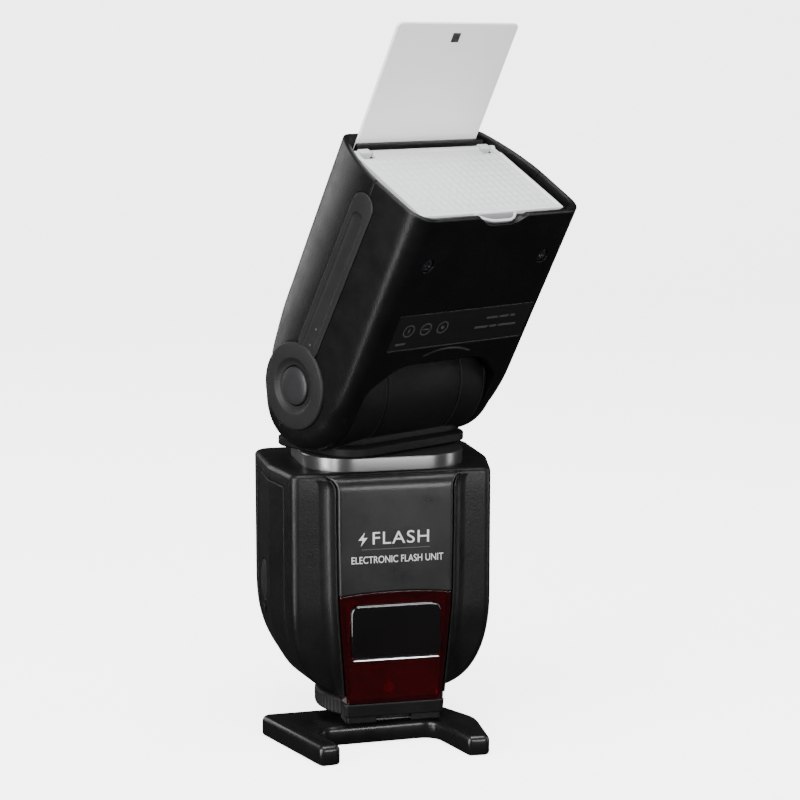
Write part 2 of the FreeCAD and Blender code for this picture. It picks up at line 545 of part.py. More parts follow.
feature("side_trim_left", side_trim(-1, True), HEAD)
feature("side_trim_right", side_trim(1, False), HEAD)
cap_body("release_button", dim("button_radius"), 3.6,
         HEAD * Placement(Vector(-34.2, 0, 0), Rotation(BACK, -90)))
feature("release_spring", rod(3.0, (-32.2, 0, 0), (-31.0, 0, 0)).cut(rod(2.4, (-33, 0, 0), (-30, 0, 0))), HEAD)

# Mouth of the head: bezel with the flash window and the slot for the card.
bezel_block = head_volume(2.0, 71.6, 75.6)
lens_hole = tray(-29.4, 29.4, -17.4, 15.4, 70, 80, 2)
card_hole = tray(-28.2, 28.2, 22.3, 27.5, 60, 90, 0.8)
rib = box(-28.0, 28.0, 20.8, 22.3, 75.6, LENGTH - 0.2)
feature("lens_bezel", fuse([cut(bezel_block, [lens_hole, card_hole]), rib]), HEAD)
fresnel = tray(-29.3, 29.3, -17.3, 15.3, 72.4, 74.4, 2)
grooves = [box(-28, 28, y, y + 0.8, 74.0, 75) for y in [-16 + 2.0 * i for i in range(15)]]
feature("flash_lens", fresnel.cut(Part.makeCompound(grooves)), HEAD)

PANEL_Y = 18.4
panel = tray(-31.5, 31.5, -18.6, PANEL_Y, 76.2, 77.6, 1.5)
panel = cut(panel, [box(a, b, PANEL_Y - 3.4, 30, 70, 80) for a, b in ((-29.4, -23.6), (23.6, 29.4))])
tab = prism([(-9.6, -18.2, 76.2), (-6.4, -22.8, 76.2), (6.4, -22.8, 76.2), (9.6, -18.2, 76.2)], [0.3, 5, 5, 0.3],
            (0, 0, 1.4))
panel = fuse([panel, tab, rod(1.0, (-31.2, PANEL_Y, 77.0), (-29.4, PANEL_Y, 77.0)),
              rod(1.0, (29.4, PANEL_Y, 77.0), (31.2, PANEL_Y, 77.0)),
              rod(1.0, (-23.6, PANEL_Y, 77.0), (23.6, PANEL_Y, 77.0))])
pin_bore = rod(0.45 + FIT, (-40, PANEL_Y, 77.0), (40, PANEL_Y, 77.0))
feature("wide_panel", panel.cut(pin_bore), HEAD)
lugs = [box(a, b, PANEL_Y - 1.0, PANEL_Y + 1.4, 75.6, 78.0) for a, b in ((-28.8, -24.2), (24.2, 28.8))]
feature("panel_pin", rod(0.45, (-30.4, PANEL_Y, 77.0), (30.4, PANEL_Y, 77.0)), HEAD)
feature("panel_lugs", Part.makeCompound([lug.cut(rod(0.45, (-40, PANEL_Y, 77.0), (40, PANEL_Y, 77.0)))
                                         for lug in lugs]), HEAD)

# Bounce card: leans back a little, drawn out of its slot.
card_place = HEAD * Placement(Vector(0, 23.5, LENGTH), Rotation(ACROSS, -dim("card_lean")))
half_card = dim("card_width") / 2
card = slab(-half_card, half_card, -8.4, 41.6, -0.5, 0.5, 1.6)
feature("bounce_card", card, card_place)

# Flash tube, reflector and zoom carriage.
bowl = prism([(-26, -11, 70), (-26, 11, 70), (-26, 9.5, 62), (-26, 5.0, 53.0), (-26, -5.0, 53.0), (-26, -9.5, 62)],
             [0.2, 0.2, 10, 3, 3, 10], (52, 0, 0))
hollow = prism([(-25.2, -10.2, 70.5), (-25.2, 10.2, 70.5), (-25.2, 8.8, 62.2), (-25.2, 4.3, 53.8),
                (-25.2, -4.3, 53.8), (-25.2, -8.8, 62.2)], [0.2, 0.2, 10, 3, 3, 10], (50.4, 0, 0))
tube_hole = rod(2.0, (-40, 0, 57.4), (40, 0, 57.4))
feature("reflector", cut(bowl, [hollow, tube_hole]), HEAD)
feature("flash_tube", rod(2.0, (-27.4, 0, 57.4), (27.4, 0, 57.4)), HEAD)
feature("tube_caps", Part.makeCompound([rod(2.6, (-29.6, 0, 57.4), (-27.4, 0, 57.4)),
                                        rod(2.6, (27.4, 0, 57.4), (29.6, 0, 57.4))]), HEAD)
SCREW_AT = (8.0, -13.0)
GUIDE_AT = (-8.0, 13.5)
MOTOR_TOP = 33.5
carriage = fuse([box(-14, 14, -7.4, 7.4, 48.6, 53.0), box(4, 12, -17, -6, 48.6, 53.0),
                 box(-12, -4, 6, 17.5, 48.6, 53.0)])
bores = [rod(1.5 + FIT, (x, y, 40), (x, y, 60)) for x, y in (SCREW_AT, GUIDE_AT)]
feature("zoom_carriage", cut(carriage, bores + [bowl]), HEAD)
feature("lead_screw", rod(1.5, (*SCREW_AT, MOTOR_TOP), (*SCREW_AT, 56.0)), HEAD)
feature("guide_rod", rod(1.5, (*GUIDE_AT, 25.0), (*GUIDE_AT, 56.0)), HEAD)
feature("zoom_motor", rod(5.5, (*SCREW_AT, 25.0), (*SCREW_AT, MOTOR_TOP)), HEAD)

# ---------------------------------------------------------------- checks and export
doc.recompute()
for item in doc.Objects:
    if "Invalid" in item.State or "Error" in item.State:
        raise RuntimeError("%s did not recompute: %s" % (item.Name, item.State))
total = 0
for item in nodes:
    if item.Shape.isNull() or not item.Shape.isValid():
        raise RuntimeError("%s has no valid shape" % item.Label)
    if item.Shape.Volume <= 0:
        raise RuntimeError("%s has no volume" % item.Label)
    item.Shape.exportStep("parts/%s.step" % item.Label)
    total += 1
    box_mm = item.Shape.BoundBox
    print("%-18s solids %2d  vol %9.1f  x %6.1f %6.1f  y %6.1f %6.1f  z %6.1f %6.1f" % (
        item.Label, len(item.Shape.Solids), item.Shape.Volume, box_mm.XMin, box_mm.XMax,
        box_mm.YMin, box_mm.YMax, box_mm.ZMin, box_mm.ZMax))
print("wrote %d sub-parts" % total)
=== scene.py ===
"""Looks of a camera flash on its table stand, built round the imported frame.

Shapes are drawn in millimetres in the row frame (+Z up, front towards -Y) and scaled to metres on the way in.
The head is drawn upright about its pivot and placed by HEAD, which tips it forward and swivels it.
"""
import math

import bmesh
import bpy
from mathutils import Matrix, Vector


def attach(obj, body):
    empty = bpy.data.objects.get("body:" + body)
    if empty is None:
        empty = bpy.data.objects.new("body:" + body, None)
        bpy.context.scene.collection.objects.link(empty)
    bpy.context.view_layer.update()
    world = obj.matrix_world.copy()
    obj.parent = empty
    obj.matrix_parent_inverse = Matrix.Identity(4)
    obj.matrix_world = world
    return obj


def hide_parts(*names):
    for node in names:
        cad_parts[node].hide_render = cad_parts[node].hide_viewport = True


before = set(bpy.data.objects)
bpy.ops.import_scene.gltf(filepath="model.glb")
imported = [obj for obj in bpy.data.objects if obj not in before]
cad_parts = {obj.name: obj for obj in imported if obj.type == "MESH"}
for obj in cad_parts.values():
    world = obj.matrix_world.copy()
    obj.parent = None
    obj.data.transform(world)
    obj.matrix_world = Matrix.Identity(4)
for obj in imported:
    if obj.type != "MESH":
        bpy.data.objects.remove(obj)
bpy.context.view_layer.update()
scene = bpy.context.scene

MM = 0.001
PIVOT = 122.0  # height of the tilt axis
HINGE_Y = -1.7  # the tilt axis lies in front of the swivel axis
SWIVEL_ANGLE = math.radians(29.5)
TILT_ANGLE = math.radians(30)
SWIVEL = Matrix.Rotation(SWIVEL_ANGLE, 4, "Z")
HEAD = SWIVEL @ Matrix.Translation((0, HINGE_Y, PIVOT)) @ Matrix.Rotation(TILT_ANGLE, 4, "X")
HOME = Matrix.Identity(4)
METRES = Matrix.Scale(MM, 4)


# ------------------------------------------------------------------ outlines and solids
def arc_corner(before, here, after, radius, steps):
    """Points that round one corner of an outline."""
    here = Vector(here)
    a = (Vector(before) - here).normalized()
    b = (Vector(after) - here).normalized()
    half = a.angle(b) / 2
    if radius <= 0 or half < 1e-3 or abs(half - math.pi / 2) < 1e-3:
        return [here.copy() for _ in range(steps + 1)] if steps and radius > 0 else [here]
    centre = here + (a + b).normalized() * (radius / math.sin(half))
    start = here + a * (radius / math.tan(half)) - centre
    end = here + b * (radius / math.tan(half)) - centre
    turn = start.angle_signed(end)
    return [centre + Matrix.Rotation(-turn * i / steps, 2) @ start for i in range(steps + 1)]


def outline(points, radii, steps=6):
    """Closed 2-D outline with rounded corners."""
    if not isinstance(radii, (list, tuple)):
        radii = [radii] * len(points)
    out = []
    for i, (point, radius) in enumerate(zip(points, radii)):
        out += arc_corner(points[i - 1], point, points[(i + 1) % len(points)], radius, steps)
    return out


def rectangle(x0, x1, y0, y1, radius=0.0, steps=5):
    """Rounded rectangle."""
    return outline([(x0, y0), (x1, y0), (x1, y1), (x0, y1)], radius, steps)


def around(count):
    """Angles of a full turn, evenly spaced."""
    return [2 * math.pi * i / count for i in range(count)]


def circle(radius, count=48, centre=(0.0, 0.0)):
    """Circle as an outline."""
    return [Vector((centre[0] + radius * math.cos(a), centre[1] + radius * math.sin(a)))
            for a in around(count)]


PLANES = {
    "XY": lambda u, v, w: (u, v, w),
    "XZ": lambda u, v, w: (u, w, v),
    "YZ": lambda u, v, w: (w, u, v),
}


def loft(rings, loop=False):
    """Closed solid through rings of 3-D points, capped at both ends unless it closes on itself."""
    bm = bmesh.new()
    rows = [[bm.verts.new(p) for p in ring] for ring in rings]
    count = len(rings[0])
    pairs = list(zip(rows, rows[1:]))
    if loop:
        pairs.append((rows[-1], rows[0]))
    for low, high in pairs:
        for i in range(count):
            j = (i + 1) % count
            bm.faces.new((low[i], low[j], high[j], high[i]))
    if not loop:
        bm.faces.new(list(reversed(rows[0])))
        bm.faces.new(rows[-1])
    bmesh.ops.remove_doubles(bm, verts=bm.verts, dist=1e-5)
    bmesh.ops.recalc_face_normals(bm, faces=bm.faces)
    return bm


def prism(points, low, high, plane="XY"):
    """Solid with one outline, pushed from low to high across a plane."""
    place = PLANES[plane]
    return loft([[place(p[0], p[1], w) for p in points] for w in (low, high)])


def stepped(sections, plane="XY"):
    """Solid through (outline, height) sections."""
    place = PLANES[plane]
    return loft([[place(p[0], p[1], w) for p in points] for points, w in sections])


def soft_plate(points, low, high, edge, plane="XY", both=True, steps=4):
    """Plate whose edges are rounded over by scaling its outline in towards its middle."""
    cx = sum(p[0] for p in points) / len(points)
    cy = sum(p[1] for p in points) / len(points)
    wide = max(p[0] for p in points) - min(p[0] for p in points)
    tall = max(p[1] for p in points) - min(p[1] for p in points)

    def drawn(inset):
        return [(cx + (p[0] - cx) * (1 - 2 * inset / wide), cy + (p[1] - cy) * (1 - 2 * inset / tall))
                for p in points]

    sections = []
    if both:
        for i in range(steps + 1):
            a = math.pi / 2 * i / steps
            sections.append((drawn(edge * (1 - math.sin(a))), low + edge * (1 - math.cos(a))))
    else:
        sections.append((points, low))
    for i in range(steps + 1):
        a = math.pi / 2 * i / steps
        sections.append((drawn(edge * (1 - math.cos(a))), high - edge * (1 - math.sin(a))))
    return stepped(sections, plane)


def lathe(profile, axis="Z", centre=(0, 0, 0), count=96):
    """Turned solid: profile is (radius, height) pairs."""
    rings = []
    cx, cy, cz = centre
    for r, h in profile:
        ring = []
        for a in around(count):
            c, s = r * math.cos(a), r * math.sin(a)
            if axis == "Z":
                ring.append((cx + c, cy + s, cz + h))
            elif axis == "Y":
                ring.append((cx + c, cy + h, cz + s))
            else:
                ring.append((cx + h, cy + c, cz + s))
        rings.append(ring)
    return loft(rings)


def box(x0, x1, y0, y1, z0, z1):
    """Plain block, used as a cutting tool."""
    return prism(rectangle(x0, x1, y0, y1), z0, z1)


def drill(radius, start, end, count=48):
    """Cylinder between two points, used as a cutting tool and for pins."""
    a, b = Vector(start), Vector(end)
    turn = (b - a).to_track_quat("Z", "Y").to_matrix().to_4x4()
    bm = prism(circle(radius, count), 0, (b - a).length)
    bmesh.ops.transform(bm, matrix=Matrix.Translation(a) @ turn, verts=bm.verts)
    return bm


def tube(path, radius, count=10):
    """Round wire along a 3-D path."""
    path = [Vector(p) for p in path]
    rings = []
    last = len(path) - 1
    for i, p in enumerate(path):
        along = path[min(i + 1, last)] - path[max(i - 1, 0)]
        turn = along.to_track_quat("Z", "Y").to_matrix()
        rings.append([p + turn @ Vector((radius * math.cos(a), radius * math.sin(a), 0))
                      for a in around(count)])
    return loft(rings)


def merged(*parts):
    """Several solids in one mesh, side by side."""
    out = bmesh.new()
    for part in parts:
        mesh = bpy.data.meshes.new("part")
        part.to_mesh(mesh)
        out.from_mesh(mesh)
        bpy.data.meshes.remove(mesh)
    return out


def carve(base, *steps):
    """Boolean work: steps are ("cut" | "keep" | "join", solid)."""
    words = {"cut": "DIFFERENCE", "keep": "INTERSECT", "join": "UNION"}
    mesh = bpy.data.meshes.new("work")
    base.to_mesh(mesh)
    work = bpy.data.objects.new("work", mesh)
    scene.collection.objects.link(work)
    tools = []
    for word, solid in steps:
        tool_mesh = bpy.data.meshes.new("tool")
        solid.to_mesh(tool_mesh)
        tool = bpy.data.objects.new("tool", tool_mesh)
        scene.collection.objects.link(tool)
        tools.append(tool)
        modifier = work.modifiers.new("b", "BOOLEAN")
        modifier.operation = words[word]
        modifier.solver = "EXACT"
        modifier.object = tool
    bpy.context.view_layer.update()
    result = bpy.data.meshes.new_from_object(work.evaluated_get(bpy.context.evaluated_depsgraph_get()))
    bm = bmesh.new()
    bm.from_mesh(result)
    for item in [work] + tools:
        data = item.data
        bpy.data.objects.remove(item)
        bpy.data.meshes.remove(data)
    bpy.data.meshes.remove(result)
    return bm


def piece(name, solid, material, body, place=HOME, stands_for=(), slot=None, angle=32, bevel=0.0):
    """Puts one finished piece into the scene, riding its CAD body."""
    mesh = bpy.data.meshes.new(name)
    solid.to_mesh(mesh)
    solid.free()
    mesh.transform(METRES @ place)
    mesh.materials.append(material)
    for polygon in mesh.polygons:
        polygon.use_smooth = True
    mesh.set_sharp_from_angle(angle=math.radians(angle))
    obj = bpy.data.objects.new(name, mesh)
    scene.collection.objects.link(obj)
    if bevel:
        modifier = obj.modifiers.new("edges", "BEVEL")
        modifier.width = bevel * MM
        modifier.segments = 3
        modifier.limit_method = "ANGLE"
        modifier.angle_limit = math.radians(40)
    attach(obj, body)
    if stands_for:
        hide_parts(*stands_for)
    return obj


def part(name, solid, material, body, place=HOME, slot=None, **extra):
    """A piece that takes the place of the CAD node of the same name."""
    return piece(name, solid, material, body, place, stands_for=[name], slot=slot, **extra)


# ------------------------------------------------------------------ materials
def nodes_of(name):
    """New material with an empty tree and the usual nodes."""
    material = bpy.data.materials.new(name)
    material.use_nodes = True
    tree = material.node_tree
    shader = tree.nodes["Principled BSDF"]
    place = tree.nodes.new("ShaderNodeTexCoord")
    return material, tree, shader, place


def noise(tree, place, scale, detail=4.0, rough=0.55):
    """Noise in the object's own coordinates."""
    node = tree.nodes.new("ShaderNodeTexNoise")
    node.inputs["Scale"].default_value = scale
    node.inputs["Detail"].default_value = detail
    node.inputs["Roughness"].default_value = rough
    tree.links.new(place.outputs["Object"], node.inputs["Vector"])
    return node


def ramp(tree, source, low, high, to_low, to_high):
    """Maps a value range onto another and clamps it."""
    node = tree.nodes.new("ShaderNodeMapRange")
    node.inputs["From Min"].default_value = low
    node.inputs["From Max"].default_value = high
    node.inputs["To Min"].default_value = to_low
    node.inputs["To Max"].default_value = to_high
    tree.links.new(source, node.inputs["Value"])
    return node.outputs["Result"]


def mixed(tree, factor, a, b):
    """Colour mix; a and b are colours or sockets."""
    node = tree.nodes.new("ShaderNodeMix")
    node.data_type = "RGBA"
    tree.links.new(factor, node.inputs["Factor"])
    for socket, value in ((node.inputs[6], a), (node.inputs[7], b)):
        if isinstance(value, tuple):
            socket.default_value = (*value, 1.0)
        else:
            tree.links.new(value, socket)
    return node.outputs[2]


def finish(name, base, rough, grain=0.25, grain_scale=1500.0, edge=0.35, wear=0.35, vary=0.25, metallic=0.0,
           coat=0.0, spec=0.5, see_through=0.0, ior=1.46, smudge=0.08, scatter=0.0,
           painted_glow=0.0):
    """One procedural finish: drifting colour, uneven gloss, fine grain, softened and slightly worn edges;
    painted_glow is painted light, an emission that brightens a part though it is no lamp.
    """
    material, tree, shader, place = nodes_of(name)
    drift = noise(tree, place, 28.0, 3.0)
    fine = noise(tree, place, grain_scale, 2.0)
    smear = noise(tree, place, 90.0, 6.0, 0.7)
    darker = tuple(c * (1 - vary) for c in base)
    lighter = tuple(min(1.0, c * (1 + vary)) for c in base)
    colour = mixed(tree, ramp(tree, drift.outputs["Fac"], 0.3, 0.7, 0.0, 1.0), darker, lighter)
    bevel = tree.nodes.new("ShaderNodeBevel")
    bevel.samples = 6
    bevel.inputs["Radius"].default_value = edge * MM
    geometry = tree.nodes.new("ShaderNodeNewGeometry")
    dot = tree.nodes.new("ShaderNodeVectorMath")
    dot.operation = "DOT_PRODUCT"
    tree.links.new(bevel.outputs["Normal"], dot.inputs[0])
    tree.links.new(geometry.outputs["Normal"], dot.inputs[1])
    rub = ramp(tree, dot.outputs["Value"], 0.995, 0.8, 0.0, wear)
    worn = tuple(min(1.0, c * 2.2 + 0.012) for c in base)
    colour = mixed(tree, rub, colour, worn)
    tree.links.new(colour, shader.inputs["Base Color"])
    gloss = ramp(tree, smear.outputs["Fac"], 0.3, 0.75, max(0.0, rough - smudge), min(1.0, rough + smudge))
    tree.links.new(gloss, shader.inputs["Roughness"])
    bump = tree.nodes.new("ShaderNodeBump")
    bump.inputs["Strength"].default_value = grain
    bump.inputs["Distance"].default_value = 0.0002
    tree.links.new(fine.outputs["Fac"], bump.inputs["Height"])
    tree.links.new(bevel.outputs["Normal"], bump.inputs["Normal"])
    tree.links.new(bump.outputs["Normal"], shader.inputs["Normal"])
    shader.inputs["Metallic"].default_value = metallic
    shader.inputs["IOR"].default_value = ior
    shader.inputs["Specular IOR Level"].default_value = spec
    shader.inputs["Coat Weight"].default_value = coat
    shader.inputs["Coat Roughness"].default_value = 0.06
    shader.inputs["Transmission Weight"].default_value = see_through
    if scatter:
        shader.inputs["Subsurface Weight"].default_value = scatter
        shader.inputs["Subsurface Radius"].default_value = (0.004, 0.004, 0.004)
        shader.inputs["Subsurface Scale"].default_value = 1.0
    # Painted light: emission whitens the part as if more light fell on it; the part is no lamp.
    if painted_glow:
        shader.inputs["Emission Color"].default_value = (1.0, 1.0, 1.0, 1.0)
        shader.inputs["Emission Strength"].default_value = painted_glow
    return material


CASE = finish("case_black", (0.0045, 0.0045, 0.0048), 0.40, grain=0.3, edge=0.5, spec=0.3)
HEAD_CASE = finish("head_black", (0.0035, 0.0035, 0.0038), 0.38, grain=0.35, grain_scale=1900.0, edge=0.6,
                   spec=0.28)
STRIP = finish("strip_charcoal", (0.009, 0.009, 0.0095), 0.34, grain=0.12, edge=0.6, spec=0.45, wear=0.0)
TRIM = finish("trim_grey", (0.013, 0.013, 0.0135), 0.5, grain=0.3, edge=0.4, spec=0.25, wear=0.1)
BUTTON = finish("button_grey", (0.019, 0.019, 0.02), 0.42, grain=0.2, edge=0.4, spec=0.35)
STAND = finish("stand_black", (0.005, 0.005, 0.0053), 0.3, grain=0.05, grain_scale=1200.0, edge=0.5,
               spec=0.45,
                wear=0.0)
RUBBER = finish("cover_rubber", (0.007, 0.007, 0.0075), 0.6, grain=0.4, edge=0.4, spec=0.3)
COLLAR = finish("collar_satin", (0.13, 0.13, 0.133), 0.3, grain=0.02, edge=0.5, metallic=0.85, vary=0.05,
                wear=0.0, smudge=0.02)
YOKE = finish("yoke_black", (0.0045, 0.0045, 0.0048), 0.6, grain=0.2, edge=0.5, spec=0.2)
RED = finish("window_red", (0.06, 0.0005, 0.0025), 0.08, grain=0.02, wear=0.0, vary=0.3, coat=0.6, edge=0.4,
             see_through=0.82, ior=1.5, smudge=0.03, spec=0.3)
GLOSS = finish("lens_black", (0.004, 0.0035, 0.0038), 0.05, grain=0.0, wear=0.0, coat=1.0, edge=0.5,
               smudge=0.02)
# The wide panel's emission is painted light that whitens it.
CLEAR = finish("clear_panel", (0.93, 0.95, 0.96), 0.16, grain=0.5, grain_scale=420.0, wear=0.0, vary=0.02,
               see_through=0.5, ior=1.49, edge=0.3, painted_glow=0.16)
FRESNEL = finish("lens_clear", (0.95, 0.96, 0.97), 0.22, grain=0.1, wear=0.0, vary=0.02, see_through=0.6,
                 ior=1.49, edge=0.2)
# The card's emission is painted light that whitens it as if lit from the front.
CARD = finish("card_white", (0.93, 0.93, 0.93), 0.42, grain=0.06, wear=0.0, vary=0.03, edge=0.2, scatter=0.25,
              smudge=0.05, painted_glow=0.3)
MARK = finish("mark_grey", (0.03, 0.03, 0.032), 0.5, grain=0.05, wear=0.0)
STEEL = finish("steel", (0.52, 0.52, 0.53), 0.28, grain=0.15, metallic=1.0, vary=0.12, edge=0.3)
GROUND = finish("shaft_steel", (0.42, 0.42, 0.43), 0.22, grain=0.1, metallic=1.0, vary=0.1, edge=0.2)
BRASS = finish("brass", (0.62, 0.42, 0.16), 0.28, grain=0.15, metallic=1.0, vary=0.15, edge=0.3)
GOLD = finish("contact_gold", (0.78, 0.56, 0.22), 0.22, grain=0.08, metallic=1.0, vary=0.1, edge=0.2)
ALU = finish("reflector_alu", (0.86, 0.86, 0.87), 0.14, grain=0.08, metallic=1.0, vary=0.06, edge=0.3)
BOARD = finish("board_green", (0.012, 0.09, 0.035), 0.4, grain=0.3, grain_scale=600.0, vary=0.3, edge=0.2)
CELL = finish("cell_wrap", (0.03, 0.06, 0.16), 0.25, grain=0.05, coat=0.5, vary=0.12, edge=0.4)
SLEEVE = finish("capacitor_sleeve", (0.012, 0.012, 0.016), 0.25, grain=0.05, coat=0.4, vary=0.15, edge=0.4)
LABEL = finish("label_black", (0.009, 0.009, 0.0095), 0.34, grain=0.08, wear=0.0, vary=0.15, edge=0.2)
PRINT = finish("print_white", (0.62, 0.62, 0.63), 0.5, grain=0.05, wear=0.0, vary=0.08, edge=0.05)
FAINT = finish("print_faint", (0.06, 0.06, 0.063), 0.5, grain=0.05, wear=0.0, vary=0.08, edge=0.05)
SCREEN = finish("screen_grey", (0.16, 0.19, 0.14), 0.3, grain=0.05, wear=0.0, vary=0.12, edge=0.2)
SEGMENT = finish("screen_segment", (0.012, 0.014, 0.012), 0.3, grain=0.0, wear=0.0, vary=0.1, edge=0.05)
TINT = finish("screen_tint", (0.35, 0.37, 0.36), 0.05, grain=0.0, wear=0.0, vary=0.05, coat=0.6,
              see_through=0.85, smudge=0.02, edge=0.3)
KEY = finish("key_grey", (0.02, 0.02, 0.021), 0.48, grain=0.3, edge=0.5)
GLASS = finish("tube_glass", (0.92, 0.95, 0.97), 0.03, grain=0.0, wear=0.0, vary=0.02, see_through=0.95,
               smudge=0.01, edge=0.1)
GREEN_LED = finish("led_green", (0.05, 0.5, 0.12), 0.15, grain=0.0, wear=0.0, coat=0.5, edge=0.1)
SEAM = finish("seam_dark", (0.002, 0.002, 0.002), 0.8, grain=0.2, wear=0.0, edge=0.05)
GLOW = finish("sensor_glow", (0.5, 0.02, 0.03), 0.3, grain=0.0, wear=0.0, coat=0.4, edge=0.2)
TAB = finish("tab_clear", (0.16, 0.16, 0.165), 0.2, grain=0.05, wear=0.0, vary=0.05, coat=0.3, edge=0.3)


# ------------------------------------------------------------------ housing
BODY_LOW = 17.0
BODY_TOP = 93.3
SQUARENESS = 2.6


def half_width(z):
    """The housing's half width: straight sides, then a long elliptical turn in to the foot."""
    if z >= 52.0:
        return 38.0
    t = min(1.0, (52.0 - z) / 35.0)
    return 14.0 + 24.0 * max(0.0, 1.0 - t ** SQUARENESS) ** (1 / SQUARENESS)


def front_line(z):
    """Y of the wings' front at a height."""
    return -25.5 if z >= 46 else -25.5 + 4.0 * ((46 - z) / 29.0) ** 1.4


def back_line(z):
    """Y of the back at a height: upright, then drawn in under the keys."""
    if z >= 40:
        return 27.0
    return 27.0 - 14.0 * ((40 - z) / 23.0) ** 1.8


def plan(z, inset):
    """Outline of the housing at one height."""
    scale = max(0.05, (half_width(z) - inset)) / 38.0
    front = front_line(z) + inset
    back = back_line(z) - inset
    points = [(-33.7 * scale, front), (33.7 * scale, front), (38.0 * scale, -4), (38.0 * scale, back),
              (-38.0 * scale, back), (-38.0 * scale, -4)]
    return outline(points, [3, 3, 11, 4.5, 4.5, 11], 8)


def housing(inset):
    """Solid of the housing, drawn in all round by an inset."""
    rings = []
    low = BODY_LOW + inset
    top = BODY_TOP - inset
    heights = [low + 0.02 + (52 - low) * (1 - math.cos(math.pi / 2 * i / 22)) for i in range(23)]
    heights += [56, 60, 66, 72, 78, 84, top - 1.8]
    for z in heights:
        rings.append([(p.x, p.y, z) for p in plan(z, inset)])
    for i in range(1, 6):
        a = math.pi / 2 * i / 5
        shrink = 1.8 * (1 - math.cos(a))
        ring = plan(80, inset + shrink)
        rings.append([(p.x, p.y, top - 1.8 + 1.8 * math.sin(a)) for p in ring])
    return loft(rings)


DOOR_X, DOOR_Y = -36.5, 17.4
EYE_SPANS = ((51.6, 55.6), (66.4, 69.6), (80.4, 83.4))
KNUCKLE_SPANS = ((60.0, 66.0), (74.0, 80.0))


def door_round(radius, count):
    """Tall cylinder about the door's pin."""
    return drill(radius, (DOOR_X, DOOR_Y, 0), (DOOR_X, DOOR_Y, 120), count)


def door_tool(radius, inner, rear, low, top):
    """Zone of the battery door: left of a plane, in front of the hinge, inside the swing's radius."""
    return carve(box(-60, inner, -60, rear, low, top), ("keep", door_round(radius, 160)))


outer = housing(0.0)
shell = carve(outer, ("cut", housing(2.0)))
door_hole = door_tool(35.3, -23.2, 19.0, 8, 88.35)
key_spots = [(-14, 53.5, 4.0), (0, 53.5, 4.0), (14, 53.5, 4.0), (-24, 39, 4.6), (24, 39, 4.6), (0, 38, 12.4)]
key_holes = [("cut", drill(r, (x, 15, z), (x, 45, z))) for x, z, r in key_spots]
window_hole = prism(rectangle(-22, 22, 59.5, 86, 1.6), 20, 40, "XZ")
socket_hole = prism(rectangle(-5.5, 12.45, 43.5, 62.5, 1.0), 36.3, 45, "YZ")
neck_hole = drill(12.06, (0, 0, 80), (0, 0, 100), 96)
front = carve(shell, ("keep", box(-60, 60, -60, 4.9, 0, 120)), ("cut", door_hole), ("cut", neck_hole),
              ("cut", socket_hole))
rear = carve(shell, ("keep", box(-60, 60, 5.1, 60, 0, 120)), ("cut", door_hole), ("cut", neck_hole),
             ("cut", socket_hole), ("cut", window_hole), *key_holes)
eyes = [lathe([(1.15, a), (1.15, b)], centre=(DOOR_X, DOOR_Y, 0), count=24) for a, b in EYE_SPANS]
eye_webs = [box(DOOR_X - 0.3, DOOR_X + 1.0, DOOR_Y, DOOR_Y + 2.4, a, b) for a, b in EYE_SPANS]
part("front_shell", front, CASE, "housing", slot="case_black")
part("rear_shell", merged(rear, *eyes, *eye_webs), CASE, "housing", slot="case_black")

door = carve(outer.copy(), ("cut", housing(1.9)), ("keep", door_tool(35.0, -23.5, 17.0, 8, 88.0)))
knuckles = [lathe([(1.25, a), (1.25, b)], centre=(DOOR_X, DOOR_Y, 0), count=24) for a, b in KNUCKLE_SPANS]
webs = [box(DOOR_X - 1.1, DOOR_X + 0.8, DOOR_Y - 2.4, DOOR_Y, a, b) for a, b in KNUCKLE_SPANS]
relief = door_round(1.95, 32)
finger = prism(rectangle(0.4, 11.6, 44, 58.5, 5.5, 12), -45, -37.55, "YZ")
door = carve(door, ("cut", relief), ("cut", finger))
grip = soft_plate(rectangle(0.8, 11.2, 44.4, 58.1, 5.1, 12), -37.98, -37.3, 0.3, "YZ")
arrow = prism([Vector((3.8, 42.4)), Vector((6.0, 39.2)), Vector((8.2, 42.4))], -38.06, -37.9, "YZ")
part("battery_door", merged(door, *knuckles, *webs), CASE, "battery_door", slot="case_black")
piece("door_grip", merged(grip, arrow), TRIM, "battery_door", slot="case_black")

# Rubber flap over the sockets.
flap = carve(housing(0.0), ("cut", housing(1.5)),
             ("keep", prism(rectangle(-5.0, 12.0, 44.0, 62.0, 1.2), 30, 45, "YZ")))
flap_tab = soft_plate(rectangle(-4.6, -2.6, 50.5, 55.5, 0.8), 37.0, 37.98, 0.3, "YZ")
part("socket_cover", merged(flap, flap_tab), RUBBER, "socket_cover", slot="cover_rubber")
outer.free()


# ------------------------------------------------------------------ front strip, window, chin
def strip_half(z):
    """Half width of the raised strip's flat front."""
    if z >= 76:
        return 19.2
    if z >= 52:
        return 19.2 - 0.35 * (76 - z) / 24
    return 18.85 - 3.2 * ((52 - z) / 41.0) ** 1.15


def strip_front(z):
    """Y of the strip's front."""
    if z > 88.2:
        t = min(1.0, (z - 88.2) / 4.9)
        return -30.7 + 4.6 * (1 - math.sqrt(max(0.0, 1 - t * t)))
    if z >= 50:
        return -30.7
    return -30.7 + 2.55 * ((50 - z) / 39.5) ** 1.3


def flare_out(z):
    """How far the strip and its flanks spread near the top."""
    return 4.4 * (1 - math.sqrt(max(0.0, 1 - ((z - 88.0) / 4.8) ** 2))) if z > 88.0 else 0.0


